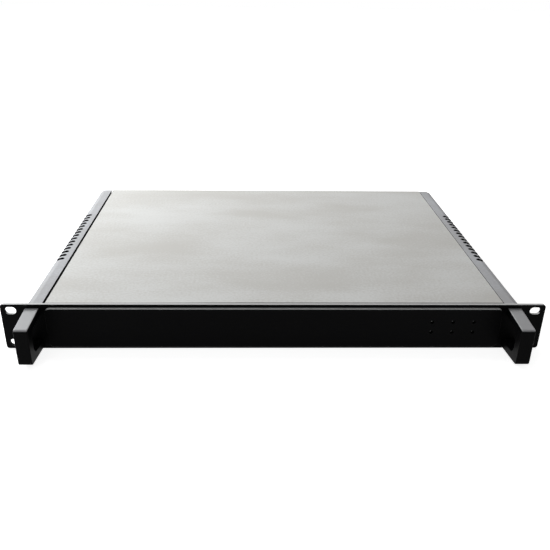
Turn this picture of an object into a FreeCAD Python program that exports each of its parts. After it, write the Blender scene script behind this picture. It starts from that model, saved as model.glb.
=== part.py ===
import FreeCAD, Part
import math
import os
from collections import namedtuple

# A 1U rack server: blank front with two bar handles, vented side rails, a flush slide-off cover and
# the boards, drives, fans and power supply inside.
#
# Frame: X to the right as seen from the front, Y to the rear, Z up, in millimetres. The origin is the
# centre of the rack-slot pattern on the rear face of the front panel, which seats on the rack posts.

Vector = FreeCAD.Vector
Screw = namedtuple("Screw", "shank head head_height key key_depth")

# ---- general fits -------------------------------------------------------------------------------
SCREW_FIT = 0.1            # radial room of a screw in its hole
RUNNING_FIT = 0.05         # radial room of a pivot or shaft in its bore
MOVING_GAP = 0.3           # room between a moving piece and what it passes
BEND_RADIUS = 0.6          # inside radius of folded sheet
M3 = Screw(1.5, 2.8, 1.8, 1.1, 1.0)
M4 = Screw(2.0, 3.5, 2.4, 1.4, 1.4)
TOUCH = 1e-6               # lengths below this count as none

# ---- front panel with the rack ears, and the body's width behind it ------------------------------
PANEL_WIDTH = 482.6
BODY_WIDTH = 438.0
PANEL_HEIGHT = 43.8
PANEL_THICKNESS = 3.0
PANEL_CORNER = 2.5
EAR_SLOT_INSET = 8.75      # slot centres from the panel's ends
EAR_SPACING_X = PANEL_WIDTH - 2 * EAR_SLOT_INSET
EAR_SPACING_Z = 31.75
EAR_SLOT_LENGTH = 10.0
EAR_SLOT_WIDTH = 7.0

# ---- raised front plate and its indicator holes -------------------------------------------------
PLATE_SIDE_MARGIN = 16.5   # body beyond the plate at each side
PLATE_WIDTH = BODY_WIDTH - 2 * PLATE_SIDE_MARGIN
PLATE_MARGIN = 2.9         # panel left bare above and below the plate
PLATE_THICKNESS = 3.0
PLATE_CORNER = 4.5
PLATE_EDGE = 0.4
STUD_X = (17.5 - PLATE_WIDTH / 2, -62.0, 62.0, PLATE_WIDTH / 2 - 12.5)
STUD_Z = -13.0
STUD_TAIL = 1.0            # stud beyond its nut
NUT_HEIGHT = 2.4
NUT_RADIUS = 3.1
FLAT_HEAD_RADIUS = 2.6     # head of the flush screws
LED_HOLE_RADIUS = 1.6
LED_CENTRE_X = PLATE_WIDTH / 2 - 43.4
LED_CENTRE_Z = 1.0
LED_PITCH_X = 18.8
LED_PITCH_Z = 10.0
LED_COLUMNS = 3
LED_ROWS = 2

# ---- handles ------------------------------------------------------------------------------------
HANDLE_INSET = 5.2         # handle's middle inward from the body's side
HANDLE_X = BODY_WIDTH / 2 - HANDLE_INSET
HANDLE_WIDTH = 12.0
HANDLE_REACH = 36.5        # from the panel's face to the front of the grip
HANDLE_TOP = 3.6           # handle below the panel's top edge, at the panel
HANDLE_BOTTOM = 1.4        # handle above the panel's bottom edge, at the panel
HANDLE_FALL = 3.0          # fall of the top towards the grip
HANDLE_RISE = 2.0          # rise of the bottom towards the grip
HANDLE_ARM = 7.5
HANDLE_GRIP = 10.5
HANDLE_OUTER_RADIUS = 3.0
HANDLE_INNER_RADIUS = 6.0
HANDLE_EDGE = 0.8
HANDLE_SCREW_BITE = 8.0

# ---- side rails ---------------------------------------------------------------------------------
BODY_DEPTH = 340.5         # panel's rear face to the rear panel's outer face
BODY_RECESS = 0.3          # body top below the panel's top edge
RAIL_THICKNESS = 1.5
RAIL_TOP_WIDTH = 14.2
BEVEL_WIDTH = 5.5
BEVEL_DROP = 2.0
VENT_COUNT = 15
VENT_FIRST_Y = 103.0
VENT_PITCH = 9.68
VENT_WIDTH = 4.8
VENT_TOP_REACH = 8.0       # from the rail's side face inward over the top
VENT_SIDE_DROP = 14.0
SIDE_SCREW_INSET = 34.0     # end screws from the body's front and rear
SIDE_SCREW_Y = (SIDE_SCREW_INSET, BODY_DEPTH / 2, BODY_DEPTH - SIDE_SCREW_INSET)
SIDE_SCREW_RISE = 7.0

# ---- base tray and rear panel -------------------------------------------------------------------
SHEET = 1.2
TRAY_FLANGE = 12.0
LEDGE_DEPTH = 8.0          # lips that carry the cover at the front and rear
FRONT_WALL_WIDTH = BODY_WIDTH - 34.0
REAR_FOOT = 6.0

# ---- cover --------------------------------------------------------------------------------------
COVER_FRONT_GAP = 0.7
COVER_GAP_LEFT = 1.6
COVER_GAP_RIGHT = 0.5
RUNNER_REACH = 6.5         # runner beyond the cover's side edge, under the rail
RUNNER_INSET = 3.0         # the runner's step starts this far inside the cover's side edge
RUNNER_STEP = 1.6
RUNNER_WELD = 4.4          # runner's flat under the cover
RUNNER_FRONT = 12.0
RUNNER_REAR = 8.0          # runners end this far before the rear panel
COVER_TAB_X = BODY_WIDTH / 2 - RAIL_TOP_WIDTH - 9.3
COVER_TAB_WIDTH = 11.0
COVER_TAB_HEIGHT = 13.0

# ---- main board: places are distances from its left and rear edges -------------------------------
BOARD_LEFT = -28.0
BOARD_WIDTH = 170.0
BOARD_LENGTH = 170.0
BOARD_REAR_GAP = 2.5
BOARD_THICKNESS = 1.6
STANDOFF_HEIGHT = 6.4
STANDOFF_RADIUS = 2.8
BOARD_HOLE_INSET = 6.35
PROCESSOR_SIZE = 38.0
PROCESSOR_HEIGHT = 3.2
PROCESSOR_FROM_LEFT = 98.0
PROCESSOR_FROM_REAR = 92.0
SPREADER_MARGIN = 4.0
SINK_SIZE = 82.0
SINK_HEIGHT = 26.0
SINK_BASE = 4.0
FIN_COUNT = 22
FIN_THICKNESS = 1.0
SINK_SCREW_INSET = 5.0
COIL_COUNT = 6
COIL_SIZE = (7.0, 7.0, 4.6)
COIL_CORNER = 0.8
COIL_PLACE = (49.0, 124.8)
COIL_PITCH = 9.0
CAPACITOR_PLACE = (38.0, 124.8)
CAPACITOR_RADIUS = 3.1
CAPACITOR_HEIGHT = 8.0
CHIP_HEIGHT = 1.2
BOARD_CHIPS = (            # place, side
    (
        (32.0, 46.8), 21.0,
    ), ((58.0, 36.8), 9.0), ((126.0, 33.8), 9.0), ((145.0, 33.8), 9.0), ((24.0, 68.8), 10.0),
)
BATTERY_RADIUS = 10.5
BATTERY_HEIGHT = 3.6
BATTERY_PLACE = (152.0, 66.8)
HEADER_WALL = 1.0
HEADER_DEPTH = 8.0
PIN_HALF = 0.4
POWER_HEADER_PLACE = (6.5, 98.8)
POWER_HEADER_SIZE = (9.6, 51.6, 11.0)
POWER_HEADER_ROWS = 12
DRIVE_HEADER_PLACE = (10.0, 132.6)
DRIVE_HEADER_SIZE = (17.0, 14.0, 8.0)
SIGNAL_HEADER_PLACE = (164.0, 121.8)
SIGNAL_HEADER_SIZE = (6.4, 25.4, 8.5)
SIGNAL_HEADER_ROWS = 9

# ---- memory -------------------------------------------------------------------------------------
MODULE_LENGTH = 133.4
MODULE_HEIGHT = 18.8
MODULE_THICKNESS = 1.3
MODULE_SEAT = 3.0          # module's lower edge above the board
MEMORY_FROM_FRONT = (14.5, 25.5)
MEMORY_FROM_LEFT = 85.0
SOCKET_WIDTH = 6.6
SOCKET_HEIGHT = 6.2
SOCKET_SLOT_ROOM = 0.15
TOWER_LENGTH = 7.5
TOWER_HEIGHT = 12.0
LATCH_THICKNESS = 3.2
LATCH_HEIGHT = 17.0
LATCH_LENGTH = 5.2
LATCH_PIVOT_RISE = 3.6
LATCH_PIN_RADIUS = 1.1
LATCH_PIVOT_REACH = 3.0    # pivot beyond the end of the slot
LATCH_PIN_INSET = 0.3
LATCH_FLOOR = 0.8
LATCH_NOSE = 1.6
LATCH_PAD = 3.0
LATCH_ROUND = 0.8
NOTCH_RISE = 9.2           # module's end notch above the board
NOTCH_HEIGHT = 4.4
NOTCH_DEPTH = 2.0
CHIP_COUNT = 8
CHIP_SIZE = (11.0, 8.0)
CHIP_MARGIN = 2.4
CHIP_THICKNESS = 1.1

# ---- rear connectors ----------------------------------------------------------------------------
SHIELD_INSET = 8.0         # shield's left end from the board's left edge
SHIELD_WIDTH = 158.75
SHIELD_X = (BOARD_LEFT + SHIELD_INSET, BOARD_LEFT + SHIELD_INSET + SHIELD_WIDTH)
SHIELD_HEIGHT = 33.0
SHIELD_THICKNESS = 0.7
SHIELD_OVERLAP = 2.5
PORT_PROUD = 1.2           # ports beyond the rear panel's outer face
PORT_ROOM = 0.4
SERIAL_INSET = 29.0        # each connector's middle from the board's left edge
VIDEO_INSET = 63.0
USB_INSET = 89.0
USB_PITCH = 17.0
LAN_INSET = 126.0
LAN_PITCH = 19.0
SERIAL_X = BOARD_LEFT + SERIAL_INSET
VIDEO_X = BOARD_LEFT + VIDEO_INSET
USB_X = (BOARD_LEFT + USB_INSET, BOARD_LEFT + USB_INSET + USB_PITCH)
LAN_X = (BOARD_LEFT + LAN_INSET, BOARD_LEFT + LAN_INSET + LAN_PITCH)
DSUB_WIDTH = 30.8
DSUB_HEIGHT = 12.5
DSUB_SHELL_WIDTH = 16.9
DSUB_SHELL_HEIGHT = 8.3
DSUB_SHELL_LENGTH = 5.0
DSUB_NUT_X = 12.5
DSUB_DEPTH = 12.0
DSUB_SHELL_WALL = 0.6
DSUB_SLOPE = 10.0
DSUB_CORNER = 1.4
DSUB_POST_RADIUS = 2.7
DSUB_PIN_PITCH = 2.6
USB_WIDTH = 14.4
USB_HEIGHT = 15.6
USB_DEPTH = 17.5
USB_MOUTH_WIDTH = 12.5
USB_MOUTH_HEIGHT = 5.1
USB_MOUTH_DEPTH = 12.0
USB_TONGUE = 1.8
USB_TONGUE_ROOM = 0.7
LAN_WIDTH = 16.0
LAN_HEIGHT = 13.6
LAN_DEPTH = 21.0
LAN_MOUTH_WIDTH = 11.8
LAN_MOUTH_HEIGHT = 8.0
LAN_MOUTH_RISE = 3.4
LAN_MOUTH_DEPTH = 14.0
LAN_LATCH_WIDTH = 6.2
LAN_LATCH_DEPTH = 1.8
LAN_CONTACTS = 8
LAN_CONTACT_PITCH = 1.02
LAN_CONTACT_DROP = 1.2
SLOT_COVER_SUPPLY_GAP = 6.5
SLOT_COVER_BOARD_GAP = 2.0
SLOT_COVER_Z = (-3.0, 13.5)
SLOT_COVER_MARGIN = 5.0
SLOT_COVER_THICKNESS = 0.9
EXPANSION_LENGTH = 56.0
EXPANSION_PLACE = (7.0, 41.8)
EXPANSION_END = 3.0
EXPANSION_KEY = 12.0
EXPANSION_SLOT = 1.8
EXPANSION_WIDTH = 7.5
EXPANSION_HEIGHT = 11.3

# ---- rear and fan vents -------------------------------------------------------------------------
REAR_VENT_X = (BODY_WIDTH / 2 - 68.0, BODY_WIDTH / 2 - 34.0)
REAR_VENT_PITCH = 5.6
REAR_VENT_WIDTH = 3.0
REAR_VENT_MARGIN = 7.0

# ---- fans ---------------------------------------------------------------------------------------
FAN_SIZE = 40.0
FAN_DEPTH = 20.0
FAN_DUCT_RADIUS = 19.0
FAN_HOLE_SPACING = 32.0
FAN_HUB_RADIUS = 10.0
FAN_TIP_GAP = 0.7
FAN_BLADES = 7
FAN_FLANGE = 3.6
FAN_CORNER = 3.0
FAN_HUB_PLATE = 2.4
FAN_HUB_GAP = 0.6
FAN_STRUTS = 3
FAN_STRUT_WIDTH = 2.0
FAN_SHAFT_RADIUS = 1.0
FAN_BLADE_MARGIN = 1.2     # blade ends inside the hub's length
FAN_BLADE_THICKNESS = 1.0
FAN_BLADE_CAMBER = 0.1
FAN_BLADE_SECTIONS = (
    (7.0, 52.0), (13.0, 42.0), (20.0, 33.0),
)   # plane's distance from the axis, pitch angle
FAN_SCREW_LENGTH = 8.0
FAN_BRACKET_END = 3.0
FAN_COUNT = 3
FAN_PITCH = 44.5
FAN_WALL_INSET = 48.0      # fans' sheet from the body's right side
FAN_FOOT = 14.0

# ---- power supply -------------------------------------------------------------------------------
PSU_INSET = 29.0           # supply from the body's left side
PSU_WIDTH = 81.5
PSU_LENGTH = 150.0
PSU_HEIGHT = 40.2
PSU_WALL = 1.0
PSU_FAN_INSET = 1.8        # fan from the supply's left wall
PSU_OPENING_MARGIN = 3.0
PSU_BOARD_RISE = 4.0
PSU_SCREW_INSET = 12.0
PSU_BOARD_MARGIN = 4.0
PSU_POST_INSET = 5.0
PSU_VENT_COUNT = 5
PSU_VENT_PITCH = 5.0
PSU_VENT_WIDTH = 2.4
PSU_VENT_MARGIN = 8.0
GRILLE_RADII = ((4.5, 7.5), (9.2, 12.2), (13.9, 17.2))
GRILLE_BAR = 2.2
TRANSFORMER_SIZE = (24.0, 28.0, 24.0)
SPREADER_SIZE = (3.0, 60.0, 26.0)
SPREADER_X = 22.0
BULK_RADIUS = 8.0
BULK_HEIGHT = 25.0
BULK_SPREAD = 18.0
INLET_WIDTH = 27.4
INLET_HEIGHT = 19.8
INLET_DEPTH = 20.0
INLET_FLANGE = 0.9
INLET_FLANGE_THICKNESS = 2.2
INLET_MOUTH_WIDTH = 24.2
INLET_MOUTH_HEIGHT = 16.4
INLET_MOUTH_DEPTH = 16.0
INLET_INSET = 18.5         # inlet's middle from the supply's right side
INLET_Z = -6.5
PIN_SIZE = (2.0, 4.0)
PIN_SPREAD = 7.0
INLET_ROUND = 1.5
INLET_CHAMFER = 4.0
SWITCH_WIDTH = 19.0
SWITCH_HEIGHT = 10.6
SWITCH_DEPTH = 12.0
SWITCH_WALL = 1.2
SWITCH_Z = 10.4
ROCKER_TILT = 8.0
ROCKER_PIN_RADIUS = 1.0
ROCKER_PIVOT_DEPTH = 1.2
ROCKER_BODY = 2.4
ROCKER_RISE = 1.1
SWITCH_POCKET = 7.0
SWITCH_PROUD = 2.0         # switch frame beyond the rear panel's inner face

# ---- drives -------------------------------------------------------------------------------------
DRIVE_WIDTH = 69.9
DRIVE_LENGTH = 100.0
DRIVE_HEIGHT = 7.0
DRIVE_COUNT = 2
DRIVE_INSET = 23.0         # first drive from the body's left side
DRIVE_GAP = 4.1
DRIVE_Y = 26.0
DRIVE_SHELF_RISE = 10.0
DRIVE_FOOT = 8.0
DRIVE_SCREW_INSET = 8.0
DRIVE_SCREW_BITE = 3.0
DRIVE_SIDE_MARGIN = 2.0
DRIVE_CORNER = 1.5
DRIVE_CONNECTOR_X = 12.0
DRIVE_CONNECTOR_WIDTH = 38.0
DRIVE_RECESS = 5.0
DRIVE_PLUG_LENGTH = 7.0
DRIVE_PLUG_HEIGHT = 4.0

# ---- indicator board ----------------------------------------------------------------------------
LED_BOARD_SIZE = (54.0, 20.0)
LED_BOARD_GAP = 5.0
LED_RADIUS = 1.45
LED_TIP_DEPTH = 2.2        # LED tip behind the front plate's face
LED_TIP_TAPER = 0.7
LED_SPACER_INSET = 3.2

# ---- cables -------------------------------------------------------------------------------------
MAIN_CABLE_RADIUS = 4.0
DRIVE_CABLE_RADIUS = 2.2
DATA_CABLE_RADIUS = 1.8
LED_CABLE_RADIUS = 1.3
ARC_SHARE = 0.45           # share of the shorter run that a bend takes
CABLE_EXIT_Z = -8.0
CABLE_EASE = 9.0
DRIVE_EXIT_INSET = (40.0, 56.0)   # holes from the supply's left side
MAIN_EXIT_INSET = 8.5      # hole from the supply's right side
MAIN_EXIT_Z = -2.0
DATA_PLUG_WIDTH = 12.0
DATA_PLUG_HALF = 2.6
DATA_PLUG_LENGTH = 8.0
POWER_PLUG_OFFSET = 14.0
POWER_PLUG_WIDTH = 22.0
POWER_PLUG_HEIGHT = 9.0
SIGNAL_PLUG_HEIGHT = 5.0
# Middle points of the cables' routes: shares of the way from start to end in X and in Y, and a height.
MAIN_CABLE_ROUTE = (
    (0.0, -0.602, -2.0), (
        0.342, -0.807, 1.0,
    ), (0.65, -0.355, 4.0), (0.761, 0.343, 5.0), (0.816, 1.0, 2.8),
)
DATA_CABLE_ROUTES = (
    (
        (0.0, 0.21, -7.2), (0.195, 0.462, -16.5), (0.488, 0.42, -17.0), (0.711, 0.545, -17.0),
        (0.808, 0.825, -14.0), (0.913, 1.0, -8.7),
    ),
    (
        (0.0, 0.202, -7.2), (0.259, 0.295, -14.5), (0.604, 0.45, -14.5), (0.777, 0.791, -11.0),
        (0.849, 1.0, -8.7),
    ),
)
LED_CABLE_ROUTE = (
    (0.0, 0.107, 1.0), (0.379, 0.3, -6.0), (0.437, 0.503, -8.0), (0.207, 0.686, -8.0),
    (0.207, 0.86, -4.0), (0.379, 1.0, -1.7),
)

# ---- places that follow from the sizes above ----------------------------------------------------
PANEL_FRONT = -PANEL_THICKNESS
PLATE_FRONT = PANEL_FRONT - PLATE_THICKNESS
BOTTOM = -PANEL_HEIGHT / 2
TOP = PANEL_HEIGHT / 2 - BODY_RECESS
FLOOR = BOTTOM + SHEET
COVER_UNDER = TOP - SHEET
LEDGE_TOP = COVER_UNDER - MOVING_GAP
SIDE = BODY_WIDTH / 2
INNER_SIDE = SIDE - RAIL_THICKNESS
RAIL_EDGE = SIDE - RAIL_TOP_WIDTH
REAR_OUT = BODY_DEPTH
REAR_IN = BODY_DEPTH - SHEET
COVER_REAR = REAR_OUT + MOVING_GAP + SHEET
COVER_LEFT = -RAIL_EDGE + COVER_GAP_LEFT
COVER_RIGHT = RAIL_EDGE - COVER_GAP_RIGHT
LIP_TOP = TOP - RAIL_THICKNESS - MOVING_GAP
LIP_BOTTOM = LIP_TOP - SHEET
BOARD_UNDER = FLOOR + STANDOFF_HEIGHT
BOARD_TOP = BOARD_UNDER + BOARD_THICKNESS
BOARD_REAR = REAR_IN - BOARD_REAR_GAP
BOARD_FRONT = BOARD_REAR - BOARD_LENGTH
PORT_REAR = REAR_OUT + PORT_PROUD
FAN_Z = FLOOR + FAN_SIZE / 2
PSU_FRONT = REAR_IN - PSU_LENGTH
PSU_TOP = FLOOR + PSU_HEIGHT
HANDLE_Z = (-PANEL_HEIGHT / 2 + HANDLE_BOTTOM, PANEL_HEIGHT / 2 - HANDLE_TOP)
FAN_WALL_X = SIDE - FAN_WALL_INSET
PSU_X = (PSU_INSET - SIDE, PSU_INSET - SIDE + PSU_WIDTH)
INLET_X = PSU_X[1] - INLET_INSET
SLOT_COVER_X = (PSU_X[1] + SLOT_COVER_SUPPLY_GAP, BOARD_LEFT - SLOT_COVER_BOARD_GAP)
PROCESSOR_X = BOARD_LEFT + PROCESSOR_FROM_LEFT
PROCESSOR_Y = BOARD_REAR - PROCESSOR_FROM_REAR
MEMORY_X = BOARD_LEFT + MEMORY_FROM_LEFT
LED_BOARD_FRONT = SHEET + LED_BOARD_GAP
LED_BOARD_REAR = LED_BOARD_FRONT + BOARD_THICKNESS
SWITCH_FACE = REAR_IN + SWITCH_PROUD
HANDLE_SCREW_Z = (HANDLE_Z[0] + HANDLE_ARM / 2, HANDLE_Z[1] - HANDLE_ARM / 2)


# ==== general shapes =============================================================================
def box(x, y, z):
    """A block between the low and high values given for X, Y and Z."""
    return Part.makeBox(x[1] - x[0], y[1] - y[0], z[1] - z[0], Vector(x[0], y[0], z[0]))


def rod(radius, start, end):
    """A round bar from one point to another."""
    run = Vector(*end) - Vector(*start)
    return Part.makeCylinder(radius, run.Length, Vector(*start), run)


def fused(shapes):
    """One solid from shapes that touch or overlap."""
    return shapes[0].multiFuse(shapes[1:]).removeSplitter()


def mirrored(shape):
    """The same shape on the other side of the middle plane."""
    return shape.mirror(Vector(0, 0, 0), Vector(1, 0, 0))


def placed(shape, position, direction):
    """A shape drawn along +Z, turned to a direction and moved to a position."""
    moved = shape.copy()
    moved.Placement = FreeCAD.Placement(
        Vector(*position), FreeCAD.Rotation(Vector(0, 0, 1), Vector(*direction))
    )
    return moved


def straight_edges(shape, axis):
    """The straight edges of a shape that run along an axis."""
    along = Vector(*axis)
    return [
        edge for edge in shape.Edges
        if edge.Curve.TypeId == "Part::GeomLine" and edge.tangentAt(
            edge.FirstParameter
        ).cross(along).Length < TOUCH
    ]


def in_xz(y):
    """Turns profile points (u, v) into points of the plane across Y."""
    return lambda u, v: Vector(u, y, v)


def in_yz(x):
    """Turns profile points (u, v) into points of the plane across X."""
    return lambda u, v: Vector(x, u, v)


def outline(corners, place):
    """A closed wire through corners (u, v, radius), rounded by an arc where the radius isn't zero."""
    edges = []
    first_point = None
    last_point = None
    for index, (u, v, radius) in enumerate(corners):
        here = place(u, v)
        to_before = (place(*corners[index - 1][:2]) - here).normalize()
        to_after = (place(*corners[(index + 1) % len(corners)][:2]) - here).normalize()
        half_angle = to_before.getAngle(to_after) / 2
        reach = radius / math.tan(half_angle)
        arc_in = here + to_before * reach
        arc_out = here + to_after * reach
        if last_point is not None:
            edges.append(Part.makeLine(last_point, arc_in))
        if radius > 0:
            bisector = (to_before + to_after).normalize()
            middle = here + bisector * (radius / math.sin(half_angle) - radius)
            edges.append(Part.Arc(arc_in, middle, arc_out).toShape())
        first_point = first_point or arc_in
        last_point = arc_out
    edges.append(Part.makeLine(last_point, first_point))
    return Part.Wire(edges)


def prism(corners, place, run):
    """The solid swept by an outline along a straight run."""
    return Part.Face(outline(corners, place)).extrude(Vector(*run))


def folded_sheet(path, thickness, place, run):
    """Sheet folded along a path of (u, v) points, lying on the right of the path, swept along a run.

    Every fold has the same inside radius; the outside radius is larger by the sheet's thickness.
    """
    headings = []
    for start, end in zip(path, path[1:]):
        length = math.dist(start, end)
        headings.append(((end[0] - start[0]) / length, (end[1] - start[1]) / length))
    near = [(*path[0], 0)]
    far = [(path[0][0] + headings[0][1] * thickness, path[0][1] - headings[0][0] * thickness, 0)]
    for point, before, after in zip(path[1:], headings, headings[1:]):
        turn = before[0] * after[1] - before[1] * after[0]
        spread = thickness / (1 + before[0] * after[0] + before[1] * after[1])
        offset = ((before[1] + after[1]) * spread, -(before[0] + after[0]) * spread)
        outer_radius = BEND_RADIUS + thickness
        radii = (outer_radius, BEND_RADIUS) if turn < 0 else (BEND_RADIUS, outer_radius)
        near.append((*point, radii[0]))
        far.append((point[0] + offset[0], point[1] + offset[1], radii[1]))
    near.append((*path[-1], 0))
    far.append((path[-1][0] + headings[-1][1] * thickness, path[-1][1] - headings[-1][0] * thickness, 0))
    return prism(near + far[::-1], place, run)


def hexagon(radius):
    """The corners of a hexagon round the origin."""
    return [
        (radius * math.cos(math.radians(60 * n)), radius * math.sin(math.radians(60 * n)), 0)
        for n in range(6)
    ]


def hex_prism(radius, start, run):
    """A hexagonal bar along +Z."""
    return prism(hexagon(radius), lambda u, v: Vector(u, v, start), (0, 0, run))


def pan_screw(kind, length):
    """A round-headed screw with a hex key socket: seat at the origin, head up, shank down."""
    head = Part.makeCylinder(kind.head, kind.head_height)
    shank = Part.makeCylinder(kind.shank, length, Vector(0, 0, -length))
    return head.fuse(shank).cut(hex_prism(kind.key, kind.head_height - kind.key_depth, kind.key_depth))


def flat_form(length, room):
    """A flush screw's form with its face at the origin; room widens it into its own hole."""
    depth = FLAT_HEAD_RADIUS - M3.shank
    cone = Part.makeCone(M3.shank + room, FLAT_HEAD_RADIUS + room, depth, Vector(0, 0, -depth))
    return cone.fuse(Part.makeCylinder(M3.shank + room, length, Vector(0, 0, -length)))


def flat_screw(length):
    """A flush screw with a hex key socket."""
    return flat_form(length, 0).cut(hex_prism(M3.key, -M3.key_depth, M3.key_depth))


def nut(kind_shank):
    """A hexagonal nut standing on the origin."""
    hole = Part.makeCylinder(kind_shank + SCREW_FIT, NUT_HEIGHT)
    return hex_prism(NUT_RADIUS, 0, NUT_HEIGHT).cut(hole)


def slot_through_y(x, z, length, width, y):
    """A round-ended slot, long along X, cut along Y."""
    half = (length - width) / 2
    ends = [rod(width / 2, (x + side * half, y[0], z), (x + side * half, y[1], z)) for side in (-1, 1)]
    return fused([box((x - half, x + half), y, (z - width / 2, z + width / 2))] + ends)


def rounded_plate(x, y, z, radius):
    """A plate facing Y with four rounded corners."""
    plate = box(x, y, z)
    return plate.makeFillet(radius, straight_edges(plate, (0, 1, 0)))


def cable(points, radius):
    """A round cable along points, its straight runs joined by arcs as large as the runs allow."""
    stops = [Vector(*point) for point in points]
    edges = []
    last = stops[0]
    for before, here, after in zip(stops, stops[1:], stops[2:]):
        to_before = (before - here).normalize()
        to_after = (after - here).normalize()
        half_angle = to_before.getAngle(to_after) / 2
        reach = ARC_SHARE * min(here.distanceToPoint(before), here.distanceToPoint(after))
        bend = reach * math.tan(half_angle)
        arc_in = here + to_before * reach
        arc_out = here + to_after * reach
        middle = here + (to_before + to_after).normalize() * (bend / math.sin(half_angle) - bend)
        edges.append(Part.makeLine(last, arc_in))
        edges.append(Part.Arc(arc_in, middle, arc_out).toShape())
        last = arc_out
    edges.append(Part.makeLine(last, stops[-1]))
    line = Part.Wire(edges)
    section = Part.Wire(Part.makeCircle(radius, stops[0], stops[1] - stops[0]))
    tube = line.makePipeShell([section], True, False)
    swept_radius = math.sqrt(tube.Volume / line.Length / math.pi)
    print(f"cable radius {radius} mm, {line.Length:.1f} mm long, {swept_radius:.3f} mm from its volume")
    return tube


# ==== front ======================================================================================
def led_places():
    """The centres (x, z) of the indicator holes."""
    return [
        (LED_CENTRE_X + (column - (LED_COLUMNS - 1) / 2) * LED_PITCH_X,
         LED_CENTRE_Z + (row - (LED_ROWS - 1) / 2) * LED_PITCH_Z)
        for row in range(LED_ROWS) for column in range(LED_COLUMNS)
    ]


def handle_screw_places():
    """The centres (x, z) of the handle screws."""
    return [(side * HANDLE_X, z) for side in (-1, 1) for z in HANDLE_SCREW_Z]


def front_holes(y):
    """Cutters along Y for the indicators, the plate's studs and the handle screws."""
    cutters = [rod(LED_HOLE_RADIUS, (x, y[0], z), (x, y[1], z)) for x, z in led_places()]
    cutters += [rod(M3.shank + SCREW_FIT, (x, y[0], STUD_Z), (x, y[1], STUD_Z)) for x in STUD_X]
    cutters += [rod(M4.shank + SCREW_FIT, (x, y[0], z), (x, y[1], z)) for x, z in handle_screw_places()]
    return cutters


def front_panel():
    """The flanged panel whose ears carry the server in a rack."""
    span = (PANEL_FRONT, 0)
    panel = rounded_plate(
        (-PANEL_WIDTH / 2, PANEL_WIDTH / 2), span, (-PANEL_HEIGHT / 2, PANEL_HEIGHT / 2), PANEL_CORNER,
    )
    slots = [
        slot_through_y(
            side * EAR_SPACING_X / 2, row * EAR_SPACING_Z / 2, EAR_SLOT_LENGTH, EAR_SLOT_WIDTH, span,
        )
        for side in (-1, 1) for row in (-1, 1)
    ]
    return panel.cut(slots + front_holes(span))


def front_plate():
    """The raised plate between the handles, with its welded studs."""
    half_height = PANEL_HEIGHT / 2 - PLATE_MARGIN
    plate = rounded_plate(
        (
            -PLATE_WIDTH / 2, PLATE_WIDTH / 2,
        ), (PLATE_FRONT, PANEL_FRONT), (-half_height, half_height), PLATE_CORNER
    )
    rim = [edge for edge in plate.Edges if edge.BoundBox.YMax < PLATE_FRONT + TOUCH]
    plate = plate.makeChamfer(PLATE_EDGE, rim)
    plate = plate.cut(
        [rod(LED_HOLE_RADIUS, (x, PLATE_FRONT, z), (x, PANEL_FRONT, z)) for x, z in led_places()]
    )
    tail = SHEET + NUT_HEIGHT + STUD_TAIL
    studs = [rod(M3.shank, (x, PANEL_FRONT, STUD_Z), (x, tail, STUD_Z)) for x in STUD_X]
    return fused([plate] + studs)


def right_handle():
    """A bar handle whose arms taper towards the grip."""
    low, high = HANDLE_Z
    grip_front = PANEL_FRONT - HANDLE_REACH
    grip_back = grip_front + HANDLE_GRIP
    arm_share = (HANDLE_REACH - HANDLE_GRIP) / HANDLE_REACH
    corners = [
        (PANEL_FRONT, low, 0),
        (PANEL_FRONT, low + HANDLE_ARM, 0),
        (grip_back, low + HANDLE_ARM + HANDLE_RISE * arm_share, HANDLE_INNER_RADIUS),
        (grip_back, high - HANDLE_ARM - HANDLE_FALL * arm_share, HANDLE_INNER_RADIUS),
        (PANEL_FRONT, high - HANDLE_ARM, 0),
        (PANEL_FRONT, high, 0),
        (grip_front, high - HANDLE_FALL, HANDLE_OUTER_RADIUS),
        (grip_front, low + HANDLE_RISE, HANDLE_OUTER_RADIUS),
    ]
    bar = prism(corners, in_yz(HANDLE_X - HANDLE_WIDTH / 2), (HANDLE_WIDTH, 0, 0))
    long_edges = [
        edge for edge in bar.Edges
        if edge.BoundBox.XLength < TOUCH and edge.BoundBox.YMin < PANEL_FRONT - HANDLE_EDGE
    ]
    bar = bar.makeFillet(HANDLE_EDGE, long_edges)
    depth = PANEL_FRONT - HANDLE_SCREW_BITE
    return bar.cut(
        [
            rod(M4.shank + SCREW_FIT, (HANDLE_X, depth, z), (HANDLE_X, PANEL_FRONT, z))
            for z in HANDLE_SCREW_Z
        ]
    )


def handle_screws():
    """The screws that hold the handles through the panel and the rails' front flanges."""
    length = RAIL_THICKNESS + PANEL_THICKNESS + HANDLE_SCREW_BITE - STUD_TAIL
    return Part.Compound([
        placed(
            pan_screw(M4, length), (x, RAIL_THICKNESS, z), (0, 1, 0),
        ) for x, z in handle_screw_places()
    ])


# ==== casing =====================================================================================
def vent_cutters():
    """Cutters for the slots that wrap over the rail's outer top corner."""
    inner_end = SIDE - VENT_TOP_REACH + VENT_WIDTH / 2
    lower_end = TOP - VENT_SIDE_DROP + VENT_WIDTH / 2
    below_bevel = TOP - BEVEL_DROP - 2 * RAIL_THICKNESS
    cutters = []
    for index in range(VENT_COUNT):
        y = VENT_FIRST_Y + index * VENT_PITCH
        width = (y - VENT_WIDTH / 2, y + VENT_WIDTH / 2)
        cutters.append(fused([
            rod(VENT_WIDTH / 2, (inner_end, y, below_bevel), (inner_end, y, TOP)),
            box((inner_end, SIDE), width, (below_bevel, TOP)),
            box((INNER_SIDE, SIDE), width, (lower_end, TOP)),
            rod(VENT_WIDTH / 2, (INNER_SIDE, y, lower_end), (SIDE, y, lower_end)),
        ]))
    return cutters


def side_screw_z():
    """The height of the flush side screws."""
    return BOTTOM + SIDE_SCREW_RISE


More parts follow.
